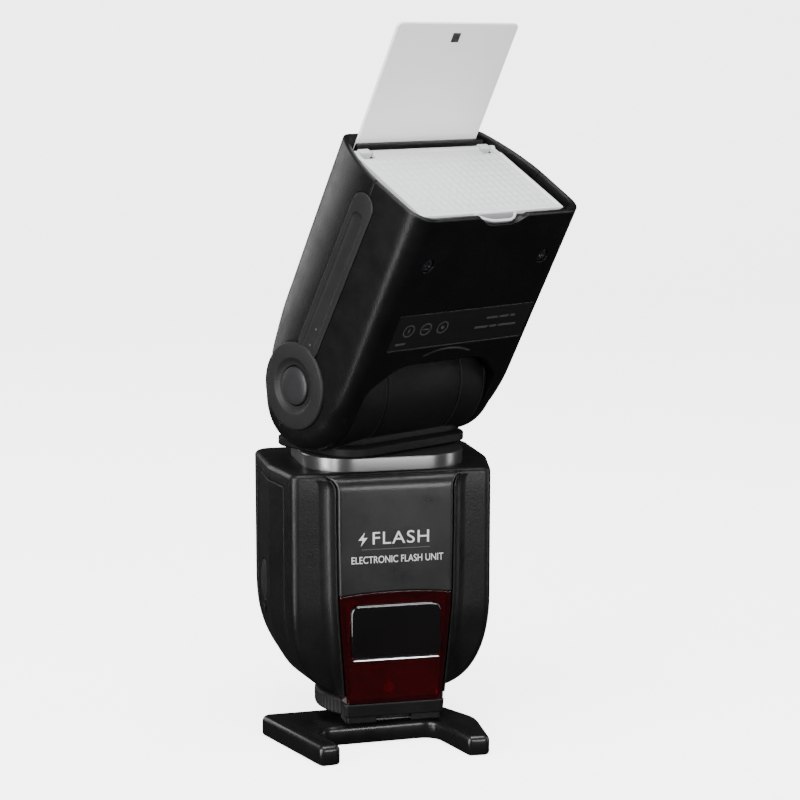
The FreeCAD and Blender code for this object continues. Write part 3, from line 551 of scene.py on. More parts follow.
def strip_rings(heights, inset=0.0, back=None):
    """Rings of the strip between heights."""
    rings = []
    for z in heights:
        h = strip_half(z) - inset
        f = strip_front(z) + inset
        b = front_line(z) + 0.1 if back is None else back(z)
        h += flare_out(z)
        points = [(-h - 1.5, b), (-h, f), (h, f), (h + 1.5, b)]
        rings.append([(p.x, p.y, z) for p in outline(points, [0, 1.1, 1.1, 0], 5)])
    return rings


def spread(low, high, count):
    """Evenly spread heights."""
    return [low + (high - low) * i / (count - 1) for i in range(count)]


arch_z = 53.9 - 150.0
arch = drill(150.0, (0, -60, arch_z), (0, -20, arch_z), 720)
arch_gap = drill(150.25, (0, -60, arch_z), (0, -20, arch_z), 720)
upper = loft(strip_rings(spread(49.5, 88.0, 12) + [88.7, 89.4, 90.1, 90.7, 91.2, 91.7, 92.1, 92.4, 92.6]))
upper = carve(upper, ("cut", arch_gap))
part("front_strip", upper, STRIP, "housing", slot="strip_charcoal")

window = loft(strip_rings(spread(15.3, 54.4, 20)))
hollow = loft(strip_rings(spread(16.6, 51.4, 12), 1.5, back=lambda z: -20.0))
lens_seat = prism(rectangle(-15.35, 15.35, 31.05, 49.75, 3.1, 8), -34, -25, "XZ")
window = carve(window, ("keep", arch), ("cut", hollow), ("cut", lens_seat))
part("red_window", window, RED, "housing", slot="window_red")
lens_plan = rectangle(-15.2, 15.2, 31.2, 49.6, 3.0, 8)
lens = stepped([([Vector((p.x * s, 40.4 + (p.y - 40.4) * t)) for p in lens_plan], y) for s, t, y in (
    (1, 1, -26.6), (1, 1, -30.7), (0.993, 0.988, -31.0), (0.982, 0.97, -31.15), (0.966, 0.945, -31.2))], "XZ")
part("sensor_lens", lens, GLOSS, "housing", slot="lens_black")

# Hollow flanks that sweep from the wings up to the strip.
flanks = []
for sign in (-1, 1):
    rows = []
    for z in spread(17.5, 88.0, 24) + [89.0, 90.0, 90.8, 91.5]:
        root = front_line(z) + 0.12
        rise = root - strip_front(z) - 0.75
        inner = strip_half(z) + 1.15 + flare_out(z)
        wide = 6.2 * min(1.0, (z - 13.0) / 22.0)
        row = []
        for i in range(10):
            t = i / 9
            row.append((sign * (inner + wide * (1 - t) ** 1.7), root - rise * t ** 2.1, z))
        row += [(sign * (inner - 0.5), root - rise, z), (sign * (inner - 0.5), root + 0.8, z),
                (sign * (inner + wide), root + 0.8, z)]
        rows.append(row)
    flank = loft(rows)
    bmesh.ops.recalc_face_normals(flank, faces=flank.faces)
    flanks.append(flank)
piece("strip_flanks", merged(*flanks), CASE, "housing", slot="case_black", angle=40)

# Painted highlight: a thin bright metal bar just under the lens stands in for the reflection line along the
# lens's lower bevel.
glint_bar = soft_plate(rectangle(-14.4, 14.4, 30.55, 31.15, 0.28), -31.35, -30.6, 0.2, "XZ")
piece("lens_glint_bar", glint_bar, ALU, "housing", slot="lens_black")

# Dark reflector backing and sensor dome behind the red window.
back_wall = soft_plate(rectangle(-15.2, 15.2, 17.4, 50.6, 1), -26.6, -25.6, 0.2, "XZ")
piece("sensor_backing", back_wall, SEAM, "housing", slot="case_black")
dome_profile = [(2.6, 0.0), (2.6, -0.5), (2.0, -0.7), (1.7, -1.3), (1.1, -1.8), (0.3, -2.0)]
dome = lathe(dome_profile, "Y", (-1.8, -26.5, 20.6), 32)
piece("sensor_dome", dome, GLOW, "housing", slot="window_red")

chin = loft(strip_rings(spread(10.5, 15.15, 8), back=lambda z: -26.9))
part("chin_trim", chin, CASE, "housing", slot="strip_charcoal", bevel=0.35)
FOOT_Y = -4  # centre of the round foot and its ring
ring_room = drill(22.8, (0, FOOT_Y, 0), (0, FOOT_Y, 30), 160)
cheeks = [carve(prism(outline(corners, radii, 5), 8.3, 15.2), ("cut", ring_room)) for corners, radii in (
    ([(-17.0, -12), (-16.2, -27.4), (-6, -27.4), (-6, -12)], [1, 1.6, 0, 0]),
    ([(17.0, -12), (6, -12), (6, -27.4), (16.2, -27.4)], [1, 0, 0, 1.6]))]
piece("chin_cheeks", merged(*cheeks), CASE, "housing", slot="case_black")


# ------------------------------------------------------------------ print on the strip
STRIP_FACE = -30.72
PRINT_DEPTH = 0.04
UPRIGHT = Matrix.Rotation(math.radians(90), 4, "X")


def words(name, text, size, x, z, spacing, fit):
    """Printed lettering on the strip as a thin solid, stretched to a width in millimetres."""
    curve = bpy.data.curves.new(name, "FONT")
    curve.body = text
    curve.size = size
    curve.align_x = "CENTER"
    curve.align_y = "CENTER"
    curve.extrude = PRINT_DEPTH
    curve.space_character = spacing
    carrier = bpy.data.objects.new(name + "_text", curve)
    scene.collection.objects.link(carrier)
    bpy.context.view_layer.update()
    mesh = bpy.data.meshes.new_from_object(carrier.evaluated_get(bpy.context.evaluated_depsgraph_get()))
    bpy.data.objects.remove(carrier)
    bpy.data.curves.remove(curve)
    bm = bmesh.new()
    bm.from_mesh(mesh)
    bpy.data.meshes.remove(mesh)
    wide = max(v.co.x for v in bm.verts) - min(v.co.x for v in bm.verts)
    bmesh.ops.scale(bm, vec=(fit / wide, 1, 1), verts=bm.verts)
    place = Matrix.Translation((x, STRIP_FACE, z)) @ UPRIGHT
    return piece(name, bm, PRINT, "housing", place=place, slot="strip_charcoal", angle=60)


on_strip = (STRIP_FACE - PRINT_DEPTH, STRIP_FACE + PRINT_DEPTH, "XZ")
words("print_big", "FLASH", 6.0, 1.6, 71.9, spacing=1.1, fit=19.0)
bolt = [Vector(p) for p in ((0.6, 2.3), (-1.5, -0.3), (-0.1, -0.3), (-0.7, -2.3), (1.5, 0.5), (0.1, 0.5))]
bolt_print = prism([Vector((p.x - 11.2, p.y + 71.9)) for p in bolt], *on_strip)
piece("print_bolt", bolt_print, PRINT, "housing", slot="strip_charcoal", angle=60)
words("print_small", "ELECTRONIC FLASH UNIT", 3.4, 0.4, 64.8, spacing=1.0, fit=31.0)
rule = prism(rectangle(-11.6, 11.4, 68.3, 68.55), *on_strip)
piece("print_rule", rule, FAINT, "housing", slot="strip_charcoal")

# ------------------------------------------------------------------ back of the housing
part("lcd_window", soft_plate(rectangle(-21.7, 21.7, 59.8, 85.7, 1.4), 25.9, 27.15, 0.35, "XZ"), TINT,
     "housing", slot="screen_tint")
part("lcd_screen", soft_plate(rectangle(-21.0, 21.0, 61.3, 84.3, 0.4), 23.3, 25.3, 0.15, "XZ"), SCREEN,
     "housing", slot="screen_grey")


def segment(x0, x1, z0, z1):
    """One dark bar on the face of the screen."""
    return prism(rectangle(x0, x1, z0, z1), 25.3, 25.36, "XZ")


def seven(x, z, tall, digit):
    """One seven-bar digit for the screen, as outlines in the XZ plane seen from behind."""
    wide = tall * 0.55
    thick = tall * 0.13
    spots = {"a": (0, tall / 2, 1), "g": (0, 0, 1), "d": (0, -tall / 2, 1), "f": (wide / 2, tall / 4, 0),
             "b": (-wide / 2, tall / 4, 0), "e": (wide / 2, -tall / 4, 0), "c": (-wide / 2, -tall / 4, 0)}
    shapes = {"1": "bc", "2": "abged", "3": "abgcd", "5": "afgcd", "8": "abcdefg", "M": "abcef"}
    bars = []
    for name in shapes[digit]:
        dx, dz, level = spots[name]
        half_x = (wide / 2 - thick * 0.6) if level else thick / 2
        half_z = thick / 2 if level else (tall / 4 - thick * 0.35)
        bars.append(segment(x + dx - half_x, x + dx + half_x, z + dz - half_z, z + dz + half_z))
    return bars


bars = seven(12, 76, 7, "M") + seven(-2, 76, 7, "1") + seven(-8.5, 76, 7, "2") + seven(-15, 76, 7, "8")
bars += seven(14, 66, 4, "3") + seven(10.6, 66, 4, "5")
bars += [segment(-16 + 2.6 * k, -14.2 + 2.6 * k, 64.6, 67.4) for k in range(8)]
bars.append(segment(4.6, 5.8, 75.4, 76.6))
piece("lcd_segments", merged(*bars), SEGMENT, "housing", slot="screen_grey")


def key(name, x, z, radius, flange):
    """Domed rubber key with a raised rim and its hidden flange."""
    profile = [(flange, 22.4), (flange, 23.4), (radius, 23.4), (radius, 27.3), (radius - 0.35, 27.85),
               (radius - 0.9, 28.0), (radius - 1.3, 27.8), (radius * 0.3, 27.75), (0.05, 27.74)]
    part(name, lathe(profile, "Y", (x, 0, z), 48), KEY, name, slot="key_grey")


for name, x in (("light_key", -14), ("mode_key", 0), ("zoom_key", 14)):
    key(name, x, 53.5, 3.6, 4.6)
for name, x in (("pilot_key", -24), ("power_key", 24)):
    key(name, x, 39, 4.2, 4.9)
ok_profile = [(5.6, 21.1), (5.6, 21.7), (5.0, 21.7), (5.0, 27.4), (4.6, 28.0), (3.8, 28.2), (0.05, 28.1)]
part("ok_key", lathe(ok_profile, "Y", (0, 0, 38), 48), KEY, "ok_key", slot="key_grey")
pad_profile = [(6.0, 24.4), (11.6, 24.4), (11.6, 26.6), (11.3, 27.4), (10.4, 28.1), (9.0, 28.35), (7.6, 28.1),
               (6.5, 27.5), (6.0, 26.6)]
PAD_Z = 38
pad_rings = [[(r * math.cos(a), y, PAD_Z + r * math.sin(a)) for a in around(72)] for r, y in pad_profile]
part("arrow_pad", loft(pad_rings, loop=True), KEY, "arrow_pad", slot="key_grey")
ticks = []
for k in range(4):
    turn = math.pi / 2 * k
    c, s = math.cos(turn), math.sin(turn)
    spun = [(x * c - y * s, PAD_Z + x * s + y * c) for x, y in ((9.9, 0), (8.4, 0.9), (8.4, -0.9))]
    ticks.append(prism(spun, 28.2, 28.4, "XZ"))
piece("pad_marks", merged(*ticks), PRINT, "arrow_pad", slot="key_grey")
on_back = (26.98, 27.05, "XZ")
icons = [prism(rectangle(x - 2.2, x + 2.2, 46.9 - 0.2, 46.9 + 0.2), *on_back) for x in (-14, 14)]
for k in range(8):
    a = math.pi / 4 * k
    cx, cz = -24 + 6.6 * math.cos(a), 39 + 6.6 * math.sin(a)
    icons.append(prism(circle(0.28, 12, (cx, cz)), *on_back))
icons.append(prism([Vector((24 + (6.4 + w) * math.cos(a), 39 + (6.4 + w) * math.sin(a)))
                    for w, a in [(0, math.radians(d)) for d in range(60, 121, 10)] +
                    [(0.4, math.radians(d)) for d in range(120, 59, -10)]], *on_back))
piece("back_icons", merged(*icons), PRINT, "housing", slot="case_black")
lamp = lathe([(1.1, 26.9), (1.1, 27.2), (0.7, 27.5), (0.05, 27.6)], "Y", (-24, 0, 30.6), 24)
piece("pilot_lamp", lamp, GREEN_LED, "housing", slot="case_black")

# ------------------------------------------------------------------ foot, ring, stand
neck_rings = []
for z, w, f, b in ((15.25, 15.5, -23.5, 11.5), (16.2, 16.4, -23.6, 12.0), (17.4, 17.5, -23.6, 12.0),
                   (19.2, 19.5, -23.0, 12.5)):
    neck_rings.append([(p.x, p.y, z) for p in outline([(-w, f), (w, f), (w, b), (-w, b)], 4, 6)])
boss = lathe([(12.0, 8.2), (12.0, 15.3)], centre=(0, FOOT_Y, 0), count=96)
stem = prism(rectangle(-6, 6, -17.4, -0.6, 1), 5.6, 8.6)
PIN_Y = -14.2  # the locking pin
pin_hole = drill(1.15, (0, PIN_Y, 0), (0, PIN_Y, 14.2), 32)
pin_room = drill(1.95, (0, PIN_Y, 9.4), (0, PIN_Y, 14.2), 32)
boss = carve(boss, ("cut", pin_hole), ("cut", pin_room))
foot = merged(loft(neck_rings), boss, carve(stem, ("cut", pin_hole)))
part("foot_block", foot, CASE, "housing", slot="case_black")


def knurl(r, h, a):
    """Radius of the locking ring: a fine straight knurl between two plain rims."""
    if 9.6 < h < 14.0 and r > 20:
        return r - 0.42 + 0.42 * abs(math.cos(a * 36))
    return r


ring_profile = [(12.06, 8.8), (21.4, 8.8), (22.0, 9.2), (22.1, 9.6), (22.2, 9.7), (22.25, 11.8), (22.2, 13.9),
                (22.1, 14.0), (22.0, 14.4), (21.4, 14.8), (12.06, 14.8)]
ring_rows = [[(knurl(r, h, a) * math.cos(a), FOOT_Y + knurl(r, h, a) * math.sin(a), h) for a in around(432)]
             for r, h in ring_profile]
part("lock_ring", loft(ring_rows, loop=True), TRIM, "lock_ring", slot="trim_grey")

stand_corners = [(-42.6, -4.6), (-28.4, -44.6), (-21.0, -43.8), (-27.5, -25.0), (14.6, -23.5), (21.2, -45.2),
                 (28.6, -45.5), (29.6, -24.0), (19.0, -5.0), (13.0, -4.0), (13.0, 8.4), (-13.0, 8.4),
                 (-13.0, -3.8)]
stand_radii = [3.0, 2.2, 1.8, 5.0, 6.0, 1.8, 2.2, 13.0, 8.0, 1.0, 3.0, 3.0, 1.0]


def inward(points, inset):
    """Outline moved inwards along its own normals."""
    out = []
    count = len(points)
    for i, p in enumerate(points):
        along = (points[(i + 1) % count] - points[i - 1]).normalized()
        out.append(p + Vector((-along.y, along.x)) * inset)
    return out


stand_line = outline(stand_corners, stand_radii, 7)
area = sum(a.x * b.y - b.x * a.y for a, b in zip(stand_line, stand_line[1:] + stand_line[:1]))
side = 1.0 if area > 0 else -1.0
levels = [(0.9, 0.0), (0.25, 0.35), (0.0, 0.9), (0.0, 5.0), (0.1, 5.5), (0.35, 6.0), (0.75, 6.45), (1.2, 6.7),
          (1.7, 6.8)]
stand_base = loft([[(p.x, p.y, z) for p in inward(stand_line, side * inset)] for inset, z in levels])
rails = soft_plate(rectangle(-12.0, 12.0, -20.8, 8.0, 1.0), 6.2, 7.6, 0.5, both=False)
stand = carve(stand_base, ("join", rails), ("cut", box(-9.7, 9.7, -18.7, 12, 3.2, 6.0)),
              ("cut", box(-6.6, 6.6, -18.0, 12, 5.9, 9)), ("cut", drill(4.65, (0, 0, -1), (0, 0, 4))),
              ("cut", drill(1.7, (0, PIN_Y, 1.2), (0, PIN_Y, 5), 32)))
part("table_stand", stand, STAND, "table_stand", slot="stand_black")
thread = []
for k in range(97):
    a = 2 * math.pi * k / 24
    thread.append((3.32 * math.cos(a), 3.32 * math.sin(a), 0.35 + 2.4 * k / 96))
ring_in = [(3.3, 0.0), (4.55, 0.0), (4.55, 3.0), (3.3, 3.0)]
insert_rows = [[(r * math.cos(a), r * math.sin(a), h) for a in around(64)] for r, h in ring_in]
part("thread_insert", merged(loft(insert_rows, loop=True), tube(thread, 0.18, 6)), BRASS, "table_stand",
     slot="brass")

# ------------------------------------------------------------------ swivel yoke
collar_line = rectangle(-27.5, 27.5, -24.8, 24.8, 15.5, 16)
collar = soft_plate(collar_line, BODY_TOP, 98.0, 0.45, both=False, steps=5)
part("collar_ring", carve(collar, ("cut", neck_hole)), COLLAR, "housing", slot="case_black")
BARREL = 22.6  # radius of the barrel round the tilt axis
END = 29.1  # half its length


def barrel_ring(x, radius):
    """One ring of the barrel round the tilt axis."""
    return [(x, HINGE_Y + radius * math.cos(a), PIVOT + radius * math.sin(a)) for a in around(160)]


end_steps = ((0.0, 4.1), (0.0, BARREL - 0.8), (0.25, BARREL - 0.2), (0.8, BARREL))
groove_steps = ((0.5, 0.0), (0.28, 0.12), (0.16, 0.5))
barrel_rows = [barrel_ring(-END + dx, radius) for dx, radius in end_steps]
for groove in (-16.4, 16.4):
    barrel_rows += [barrel_ring(groove - dx, BARREL - deep) for dx, deep in groove_steps]
    barrel_rows += [barrel_ring(groove + dx, BARREL - deep) for dx, deep in reversed(groove_steps)]
barrel_rows += [barrel_ring(END - dx, radius) for dx, radius in reversed(end_steps)]
neck_rows = []
for z, w, f, b in ((98.4, 28.0, -18.5, 22.5), (98.9, 28.4, -18.9, 22.9), (101.1, 28.4, -18.9, 22.9),
                   (101.6, 28.0, -18.4, 22.4), (102.2, 27.4, -16.2, 20.6), (104.5, 27.2, -15.0, 18.8),
                   (110, 27.2, -15.0, 18.0), (116, 27.2, -15.0, 17.0)):
    corners = [(-w, f), (w, f), (w, b), (-w, b)]
    neck_rows.append([(p.x, p.y, z) for p in outline(corners, [9.0, 9.0, 8.0, 8.0], 8)])
spindle = lathe([(11.9, 88.0), (12.0, 88.2), (12.0, 98.5)], count=96)
part("swivel_yoke", merged(loft(barrel_rows, loop=True), loft(neck_rows), spindle), YOKE, "yoke", SWIVEL,
     slot="case_black")
seams = []
for x in (-17.0, 17.0, 27.6):
    steps = ((-0.22, -0.05), (-0.16, 0.1), (0.16, 0.1), (0.22, -0.05))
    seams.append(loft([barrel_ring(x + dx, BARREL + dr) for dx, dr in steps], loop=True))
piece("barrel_seams", merged(*seams), TRIM, "yoke", SWIVEL, slot="case_black")

# ------------------------------------------------------------------ head
LENGTH = 78.8  # pivot to rim
FRONT = -23.2
REAR = 27.5
SPLIT = 0.0  # where the two case halves meet
CHEEK = 21.6  # radius of the foot round the pivot
FORWARD = 0.8  # how far that foot's centre is in front of the pivot
EDGE = 6.0  # rounding of the foot


def side_x(y, d):
    """Half width of the head at a depth: flat in front, drawn in at the back, rounded round the foot."""
    if y <= SPLIT:
        half = 36.7 + 0.7 * (y - FRONT) / (SPLIT - FRONT)
    else:
        t = (y - SPLIT) / (REAR - SPLIT)
        half = 37.4 - 7.2 * t ** 1.9
    reach = math.hypot(d, y + FORWARD) - (CHEEK - EDGE)
    if d < 0 and reach > 0:
        half -= EDGE - math.sqrt(max(0.0, EDGE * EDGE - reach * reach))
    return half


def head_front(d):
    """Front line of the head at a distance from the pivot."""
    low = -CHEEK - FORWARD
    if d >= 14:
        return FRONT
    if d >= 0:
        t = 1 - d / 14
        return FRONT + (low - FRONT) * t * t
    return -FORWARD - math.sqrt(max(0.0, CHEEK * CHEEK - d * d))


def head_rear(d):
    """Back line of the head at a distance from the pivot."""
    low = CHEEK - FORWARD
    if d >= 24:
        return 24.4 + (REAR - 24.4) * (d - 24) / (LENGTH - 24)
    if d >= 0:
        t = d / 24
        return low + (24.4 - low) * (t * (2 - t) * 0.8 + 0.2 * t)
    return -FORWARD + math.sqrt(max(0.0, CHEEK * CHEEK - d * d))


def section(d, inset):
    """Outline of the head at one distance from the pivot."""
    f = head_front(d) + inset
    b = head_rear(d) - inset
    middle, reach = (f + b) / 2, (b - f) / 2
    depths = [middle - reach * math.cos(math.pi * i / 28) for i in range(29)]
    right = [(side_x(y, d) - inset, y) for y in depths]
    left = [(-x, y) for x, y in reversed(right)]
    if d < 0:
        return [Vector(p) for p in [(0.0, f)] + right + left]
    foot = max(0.0, 1 - d / 16)
    near = max(1.5, 3.4 + 3.8 * d / LENGTH + (EDGE - 3.4) * foot * foot - inset * 0.6)
    far = 5.0 + (EDGE - 5.0) * foot
    points = [(0.0, f)] + right + left
    radii = [0, near] + [0] * 27 + [far, far] + [0] * 27 + [near]
    keep = [(p, r) for p, r in zip(points, radii)
            if r > 0 or p[0] == 0 or f + near * 1.05 < p[1] < b - far * 1.3]
    return outline([p for p, _ in keep], [r for _, r in keep], 8)


def resample(points, count):
    """The same closed outline with evenly spread points, starting nearest the middle of the front."""
    closed = points + [points[0]]
    lengths = [0.0]
    for a, b in zip(closed, closed[1:]):
        lengths.append(lengths[-1] + (b - a).length)
    out = []
    k = 0
    for i in range(count):
        target = lengths[-1] * i / count
        while lengths[k + 1] < target:
            k += 1
        span = lengths[k + 1] - lengths[k]
        t = 0 if span == 0 else (target - lengths[k]) / span
        out.append(closed[k].lerp(closed[k + 1], t))
    return out


def head_solid(inset, low, high):
    """Head volume between two distances from the pivot."""
    rings = []
    if low < 0:
        turns = [math.pi / 2 * i / 26 for i in range(26)]
        levels = [-(CHEEK - inset) * math.cos(a) + 0.15 for a in turns] + [0.0]
    else:
        levels = [low]
    levels += [d for d in (1, 2, 3, 4.5, 6, 8, 10, 12, 14, 17, 20, 24) if d > levels[-1] + 0.4 and d < high]
    levels += [d for d in spread(30, high, 8) if d > levels[-1] + 0.5]
    for d in levels:
        rings.append([(p.x, p.y, d) for p in resample(section(d, inset), 160)])
    return loft(rings)


CHEEK_IN = 29.5  # inner faces of the cheeks; the tools stay apart by a few hundredths
BAND_Y = SPLIT + 0.8
head_outer = head_solid(0.0, -1, LENGTH)
cavity = head_solid(1.9, 25.0, LENGTH + 1)
barrel_room = drill(BARREL + 0.4, (-CHEEK_IN, 0, 0), (CHEEK_IN, 0, 0), 160)
under_room = box(-CHEEK_IN + 0.02, CHEEK_IN - 0.02, -31, 31, -31, 2)
back_room = box(-CHEEK_IN + 0.04, CHEEK_IN - 0.04, 0.3, 30, -30, 12)


def scoop_outline(half, lift):
    """Arched opening in front of the barrel."""
    points = [(-half, -20), (half, -20), (half, 12.0 + lift), (19.0, 21.7 + lift), (-19.0, 21.7 + lift),
              (-half, 12.0 + lift)]
    return outline(points, [0, 0, 5, 15, 15, 5], 9)


scoop = prism(scoop_outline(CHEEK_IN - 0.06, 0.0), -30, -8, "XZ")
scoop_lip = stepped([(scoop_outline(CHEEK_IN - 0.09, lift), y) for lift, y in (
    (1.2, -29.0), (1.2, FRONT - 0.01), (0.5, FRONT + 0.45), (0.05, FRONT + 1.4))], "XZ")
button_room = drill(7.0, (-40, 0, 0), (-31, 0, 0), 64)
shaft_room = drill(4.02, (-31, 0, 0), (31, 0, 0), 48)
seats = [drill(14.7, (-40, 0, 0), (-35.9, 0, 0), 96), drill(14.7, (35.9, 0, 0), (40, 0, 0), 96)]
trim_seats = [prism(rectangle(BAND_Y - 5.15, BAND_Y + 5.15, 1, 73.7, 4.9, 8), w0, w1, "YZ")
              for w0, w1 in ((-40, -36.65), (36.65, 40))]
tab_line = outline([(-9.6, -18.2), (-5.6, -22.8), (5.6, -22.8), (9.6, -18.2)], [0.3, 7.0, 7.0, 0.3], 10)
notch_line = outline([(-11.2, LENGTH + 3), (-11.2, LENGTH + 0.3), (-6.0, LENGTH - 2.9), (6.0, LENGTH - 2.9),
                      (11.2, LENGTH + 0.3), (11.2, LENGTH + 3)], [0, 1.5, 8.0, 8.0, 1.5, 0], 9)
tab_notch = prism(notch_line, -25, FRONT + 4, "XZ")
label_seat = prism(rectangle(-28.3, 32.3, 29.3, 43.2, 0.8), -25, FRONT + 0.3, "XZ")
screw_spots = [(-25.6, 62.0), (25.6, 62.0)]
screw_rooms = [("cut", drill(2.4, (x, -25, z), (x, FRONT + 1.2, z), 40)) for x, z in screw_spots]
groove = tube([(x, FRONT - 0.12, 28.1 - 2.0 * (x / 10) ** 2) for x in spread(-10.5, 10.5, 26)], 0.5, 10)
rooms = [cavity, barrel_room, under_room, back_room, scoop, scoop_lip, button_room, shaft_room]
block = carve(head_outer, *[("cut", tool) for tool in rooms + seats + trim_seats])
front_case = carve(block.copy(), ("keep", box(-60, 60, -60, SPLIT - 0.12, -60, 120)), ("cut", tab_notch),
                   ("cut", label_seat), ("cut", groove), *screw_rooms)
back_case = carve(block, ("keep", box(-60, 60, SPLIT + 0.12, 60, -60, 120)))
part("head_front_case", front_case, HEAD_CASE, "head", HEAD, slot="case_black")
part("head_back_case", back_case, HEAD_CASE, "head", HEAD, slot="case_black")


def screw_head(x, z):
    """Cross-head screw seen from in front, sunk in its hole."""
    disc = lathe([(0.05, 0.0), (1.7, 0.02), (2.1, 0.2), (2.2, 0.5), (2.2, 0.85)], "Y", (x, FRONT + 0.35, z),
                 40)
    cross = [box(x - 1.25, x + 1.25, FRONT, FRONT + 0.8, z - 0.24, z + 0.24),
             box(x - 0.24, x + 0.24, FRONT, FRONT + 0.8, z - 1.25, z + 1.25)]
    return carve(disc, ("cut", cross[0]), ("cut", cross[1]))


part("head_screws", merged(*[screw_head(x, z) for x, z in screw_spots]), SLEEVE, "head", HEAD, slot="steel")
label = soft_plate(rectangle(-28.1, 32.1, 29.5, 43.0, 0.8), FRONT + 0.04, FRONT + 0.34, 0.08, "XZ")
part("rating_label", label, LABEL, "head", HEAD, slot="label_black")
marks = []
label_y = (FRONT, FRONT + 0.06)
for k, x in enumerate((-22, -14.6, -7.2)):
    ring_pts = circle(2.4, 28, (x, 36.8))
    inner_pts = circle(1.95, 28, (x, 36.8))
    rows = [[(p.x, label_y[0], p.y) for p in ring_pts], [(p.x, label_y[1], p.y) for p in ring_pts],
            [(p.x, label_y[1], p.y) for p in inner_pts], [(p.x, label_y[0], p.y) for p in inner_pts]]
    marks.append(loft(rows, loop=True))
    if k == 0:
        marks.append(prism([Vector((x + 0.4 * p.x, 36.8 + 0.6 * p.y)) for p in bolt], *label_y, "XZ"))
    elif k == 1:
        marks.append(prism(rectangle(x - 1.2, x + 1.2, 36.55, 37.05), *label_y, "XZ"))
    else:
        marks.append(prism(circle(0.7, 20, (x, 36.8)), *label_y, "XZ"))
marks += [prism(rectangle(x0, x1, z - 0.4, z + 0.4), *label_y, "XZ") for x0, x1, z in (
    (12, 17, 38.6), (18, 22, 38.6), (23, 25, 38.6), (8, 14, 35.0), (15, 18, 35.0), (19, 27, 35.0),
    (-25.6, -21.4, 31.8))]
piece("label_marks", merged(*marks), FAINT, "head", HEAD, slot="label_black")


def trim(sign, with_button):
    """Pivot cap and the rounded strip above it, with a raised ridge inside the strip's edge."""
    cap_line = [(14.55, 36.0), (14.55, 37.5), (14.2, 37.9), (13.6, 38.05), (9.4, 38.05), (8.9, 37.7),
                (8.2, 37.1), (7.7, 36.95)]
    cap_line += [(6.75, 36.9), (6.75, 36.0)] if with_button else [(4.0, 36.95), (4.0, 36.0)]
    cap = loft([[(sign * h, r * math.cos(a), r * math.sin(a)) for a in around(96)] for r, h in cap_line],
               loop=True)
    band_line = rectangle(BAND_Y - 5.0, BAND_Y + 5.0, 11.5, 73.5, 4.8, 10)
    ridge_line = rectangle(BAND_Y - 2.6, BAND_Y + 2.6, 10.0, 66.5, 2.55, 10)
    rows = []
    for inset, h in ((0.0, 36.7), (0.0, 37.45), (0.15, 37.6), (0.5, 37.66)):
        scale_u = 1 - inset / 5.0
        scale_v = 1 - inset / 31.0
        rows.append([(sign * h, BAND_Y + (p.x - BAND_Y) * scale_u, 42.5 + (p.y - 42.5) * scale_v)
                     for p in band_line])
    dip = [[(sign * h, BAND_Y + (p.x - BAND_Y) * k, 38.25 + (p.y - 38.25) * (1 + (k - 1) * 0.09))
            for p in ridge_line]
           for k, h in ((1.16, 38.0), (1.06, 37.62), (1.0, 37.4), (0.9, 37.3), (0.2, 37.3))]
    cap_room = drill(14.6, (sign * 30, 0, 0), (sign * 40, 0, 0), 96)
    return merged(cap, carve(loft(rows), ("cut", loft(dip)), ("cut", cap_room)))


part("side_trim_left", trim(-1, True), TRIM, "head", HEAD, slot="trim_grey")
part("side_trim_right", trim(1, False), TRIM, "head", HEAD, slot="trim_grey")
cap_r = lathe([(3.9, 36.0), (3.9, 37.0), (3.5, 37.25), (0.05, 37.3)], "X", (0, 0, 0), 40)
piece("right_cap_plug", cap_r, BUTTON, "head", HEAD, slot="trim_grey")
button = [(6.4, -34.2), (6.4, -37.1), (6.15, -37.5), (5.4, -37.8), (3.4, -38.0), (1.2, -38.05),
          (0.05, -38.06)]
part("release_button", lathe(button, "X", (0, 0, 0), 64), BUTTON, "release_button", HEAD, slot="trim_grey")
dots = [prism(circle(0.42, 16, (0.2, z)), -37.36, -37.36 + 0.1, "YZ") for z in (22.6, 16.4)]
piece("tilt_dots", merged(*dots), FAINT, "head", HEAD, slot="trim_grey")

# Mouth of the head: rim bead, bezel, window, folded wide panel, card slot.
bead = []
for inset, d in ((0.05, LENGTH - 0.2), (0.0, LENGTH + 0.05), (0.35, LENGTH + 0.3), (0.9, LENGTH + 0.32),
                 (1.35, LENGTH + 0.1), (1.5, LENGTH - 0.4), (1.5, LENGTH - 1.2), (0.4, LENGTH - 1.2)):
    bead.append([(p.x, p.y, d) for p in resample(section(LENGTH, 0.12 + inset), 200)])
split_gap = box(-60, 60, SPLIT - 0.3, SPLIT + 0.3, 70, 90)
rim = carve(loft(bead, loop=True), ("cut", tab_notch), ("cut", split_gap))
piece("head_rim", rim, HEAD_CASE, "head", HEAD, slot="case_black")
bezel = head_solid(2.0, 71.6, 75.6)
lens_hole = prism(rectangle(-29.4, 29.4, -17.4, 15.4, 2), 60, 90)
slot_hole = prism(rectangle(-28.2, 28.2, 22.3, 27.5, 0.8), 60, 90)
rib = soft_plate(rectangle(-28.0, 28.0, 20.8, 22.3, 0.3), 75.4, LENGTH - 0.2, 0.25, both=False)
bezel = carve(bezel, ("cut", lens_hole), ("cut", slot_hole), ("join", rib))
part("lens_bezel", bezel, HEAD_CASE, "head", HEAD, slot="case_black")
ridges = []
for i in range(57):
    y = -17.2 + 32.4 * i / 56
    ridges.append((y, 74.4 - (0.35 if i % 2 else 0.0)))
lens_line = [Vector(p) for p in ridges] + [Vector((15.2, 72.4)), Vector((-17.2, 72.4))]
fresnel = prism(lens_line, -29.2, 29.2, "YZ")
part("flash_lens", fresnel, FRESNEL, "head", HEAD, slot="clear_plastic", angle=20)

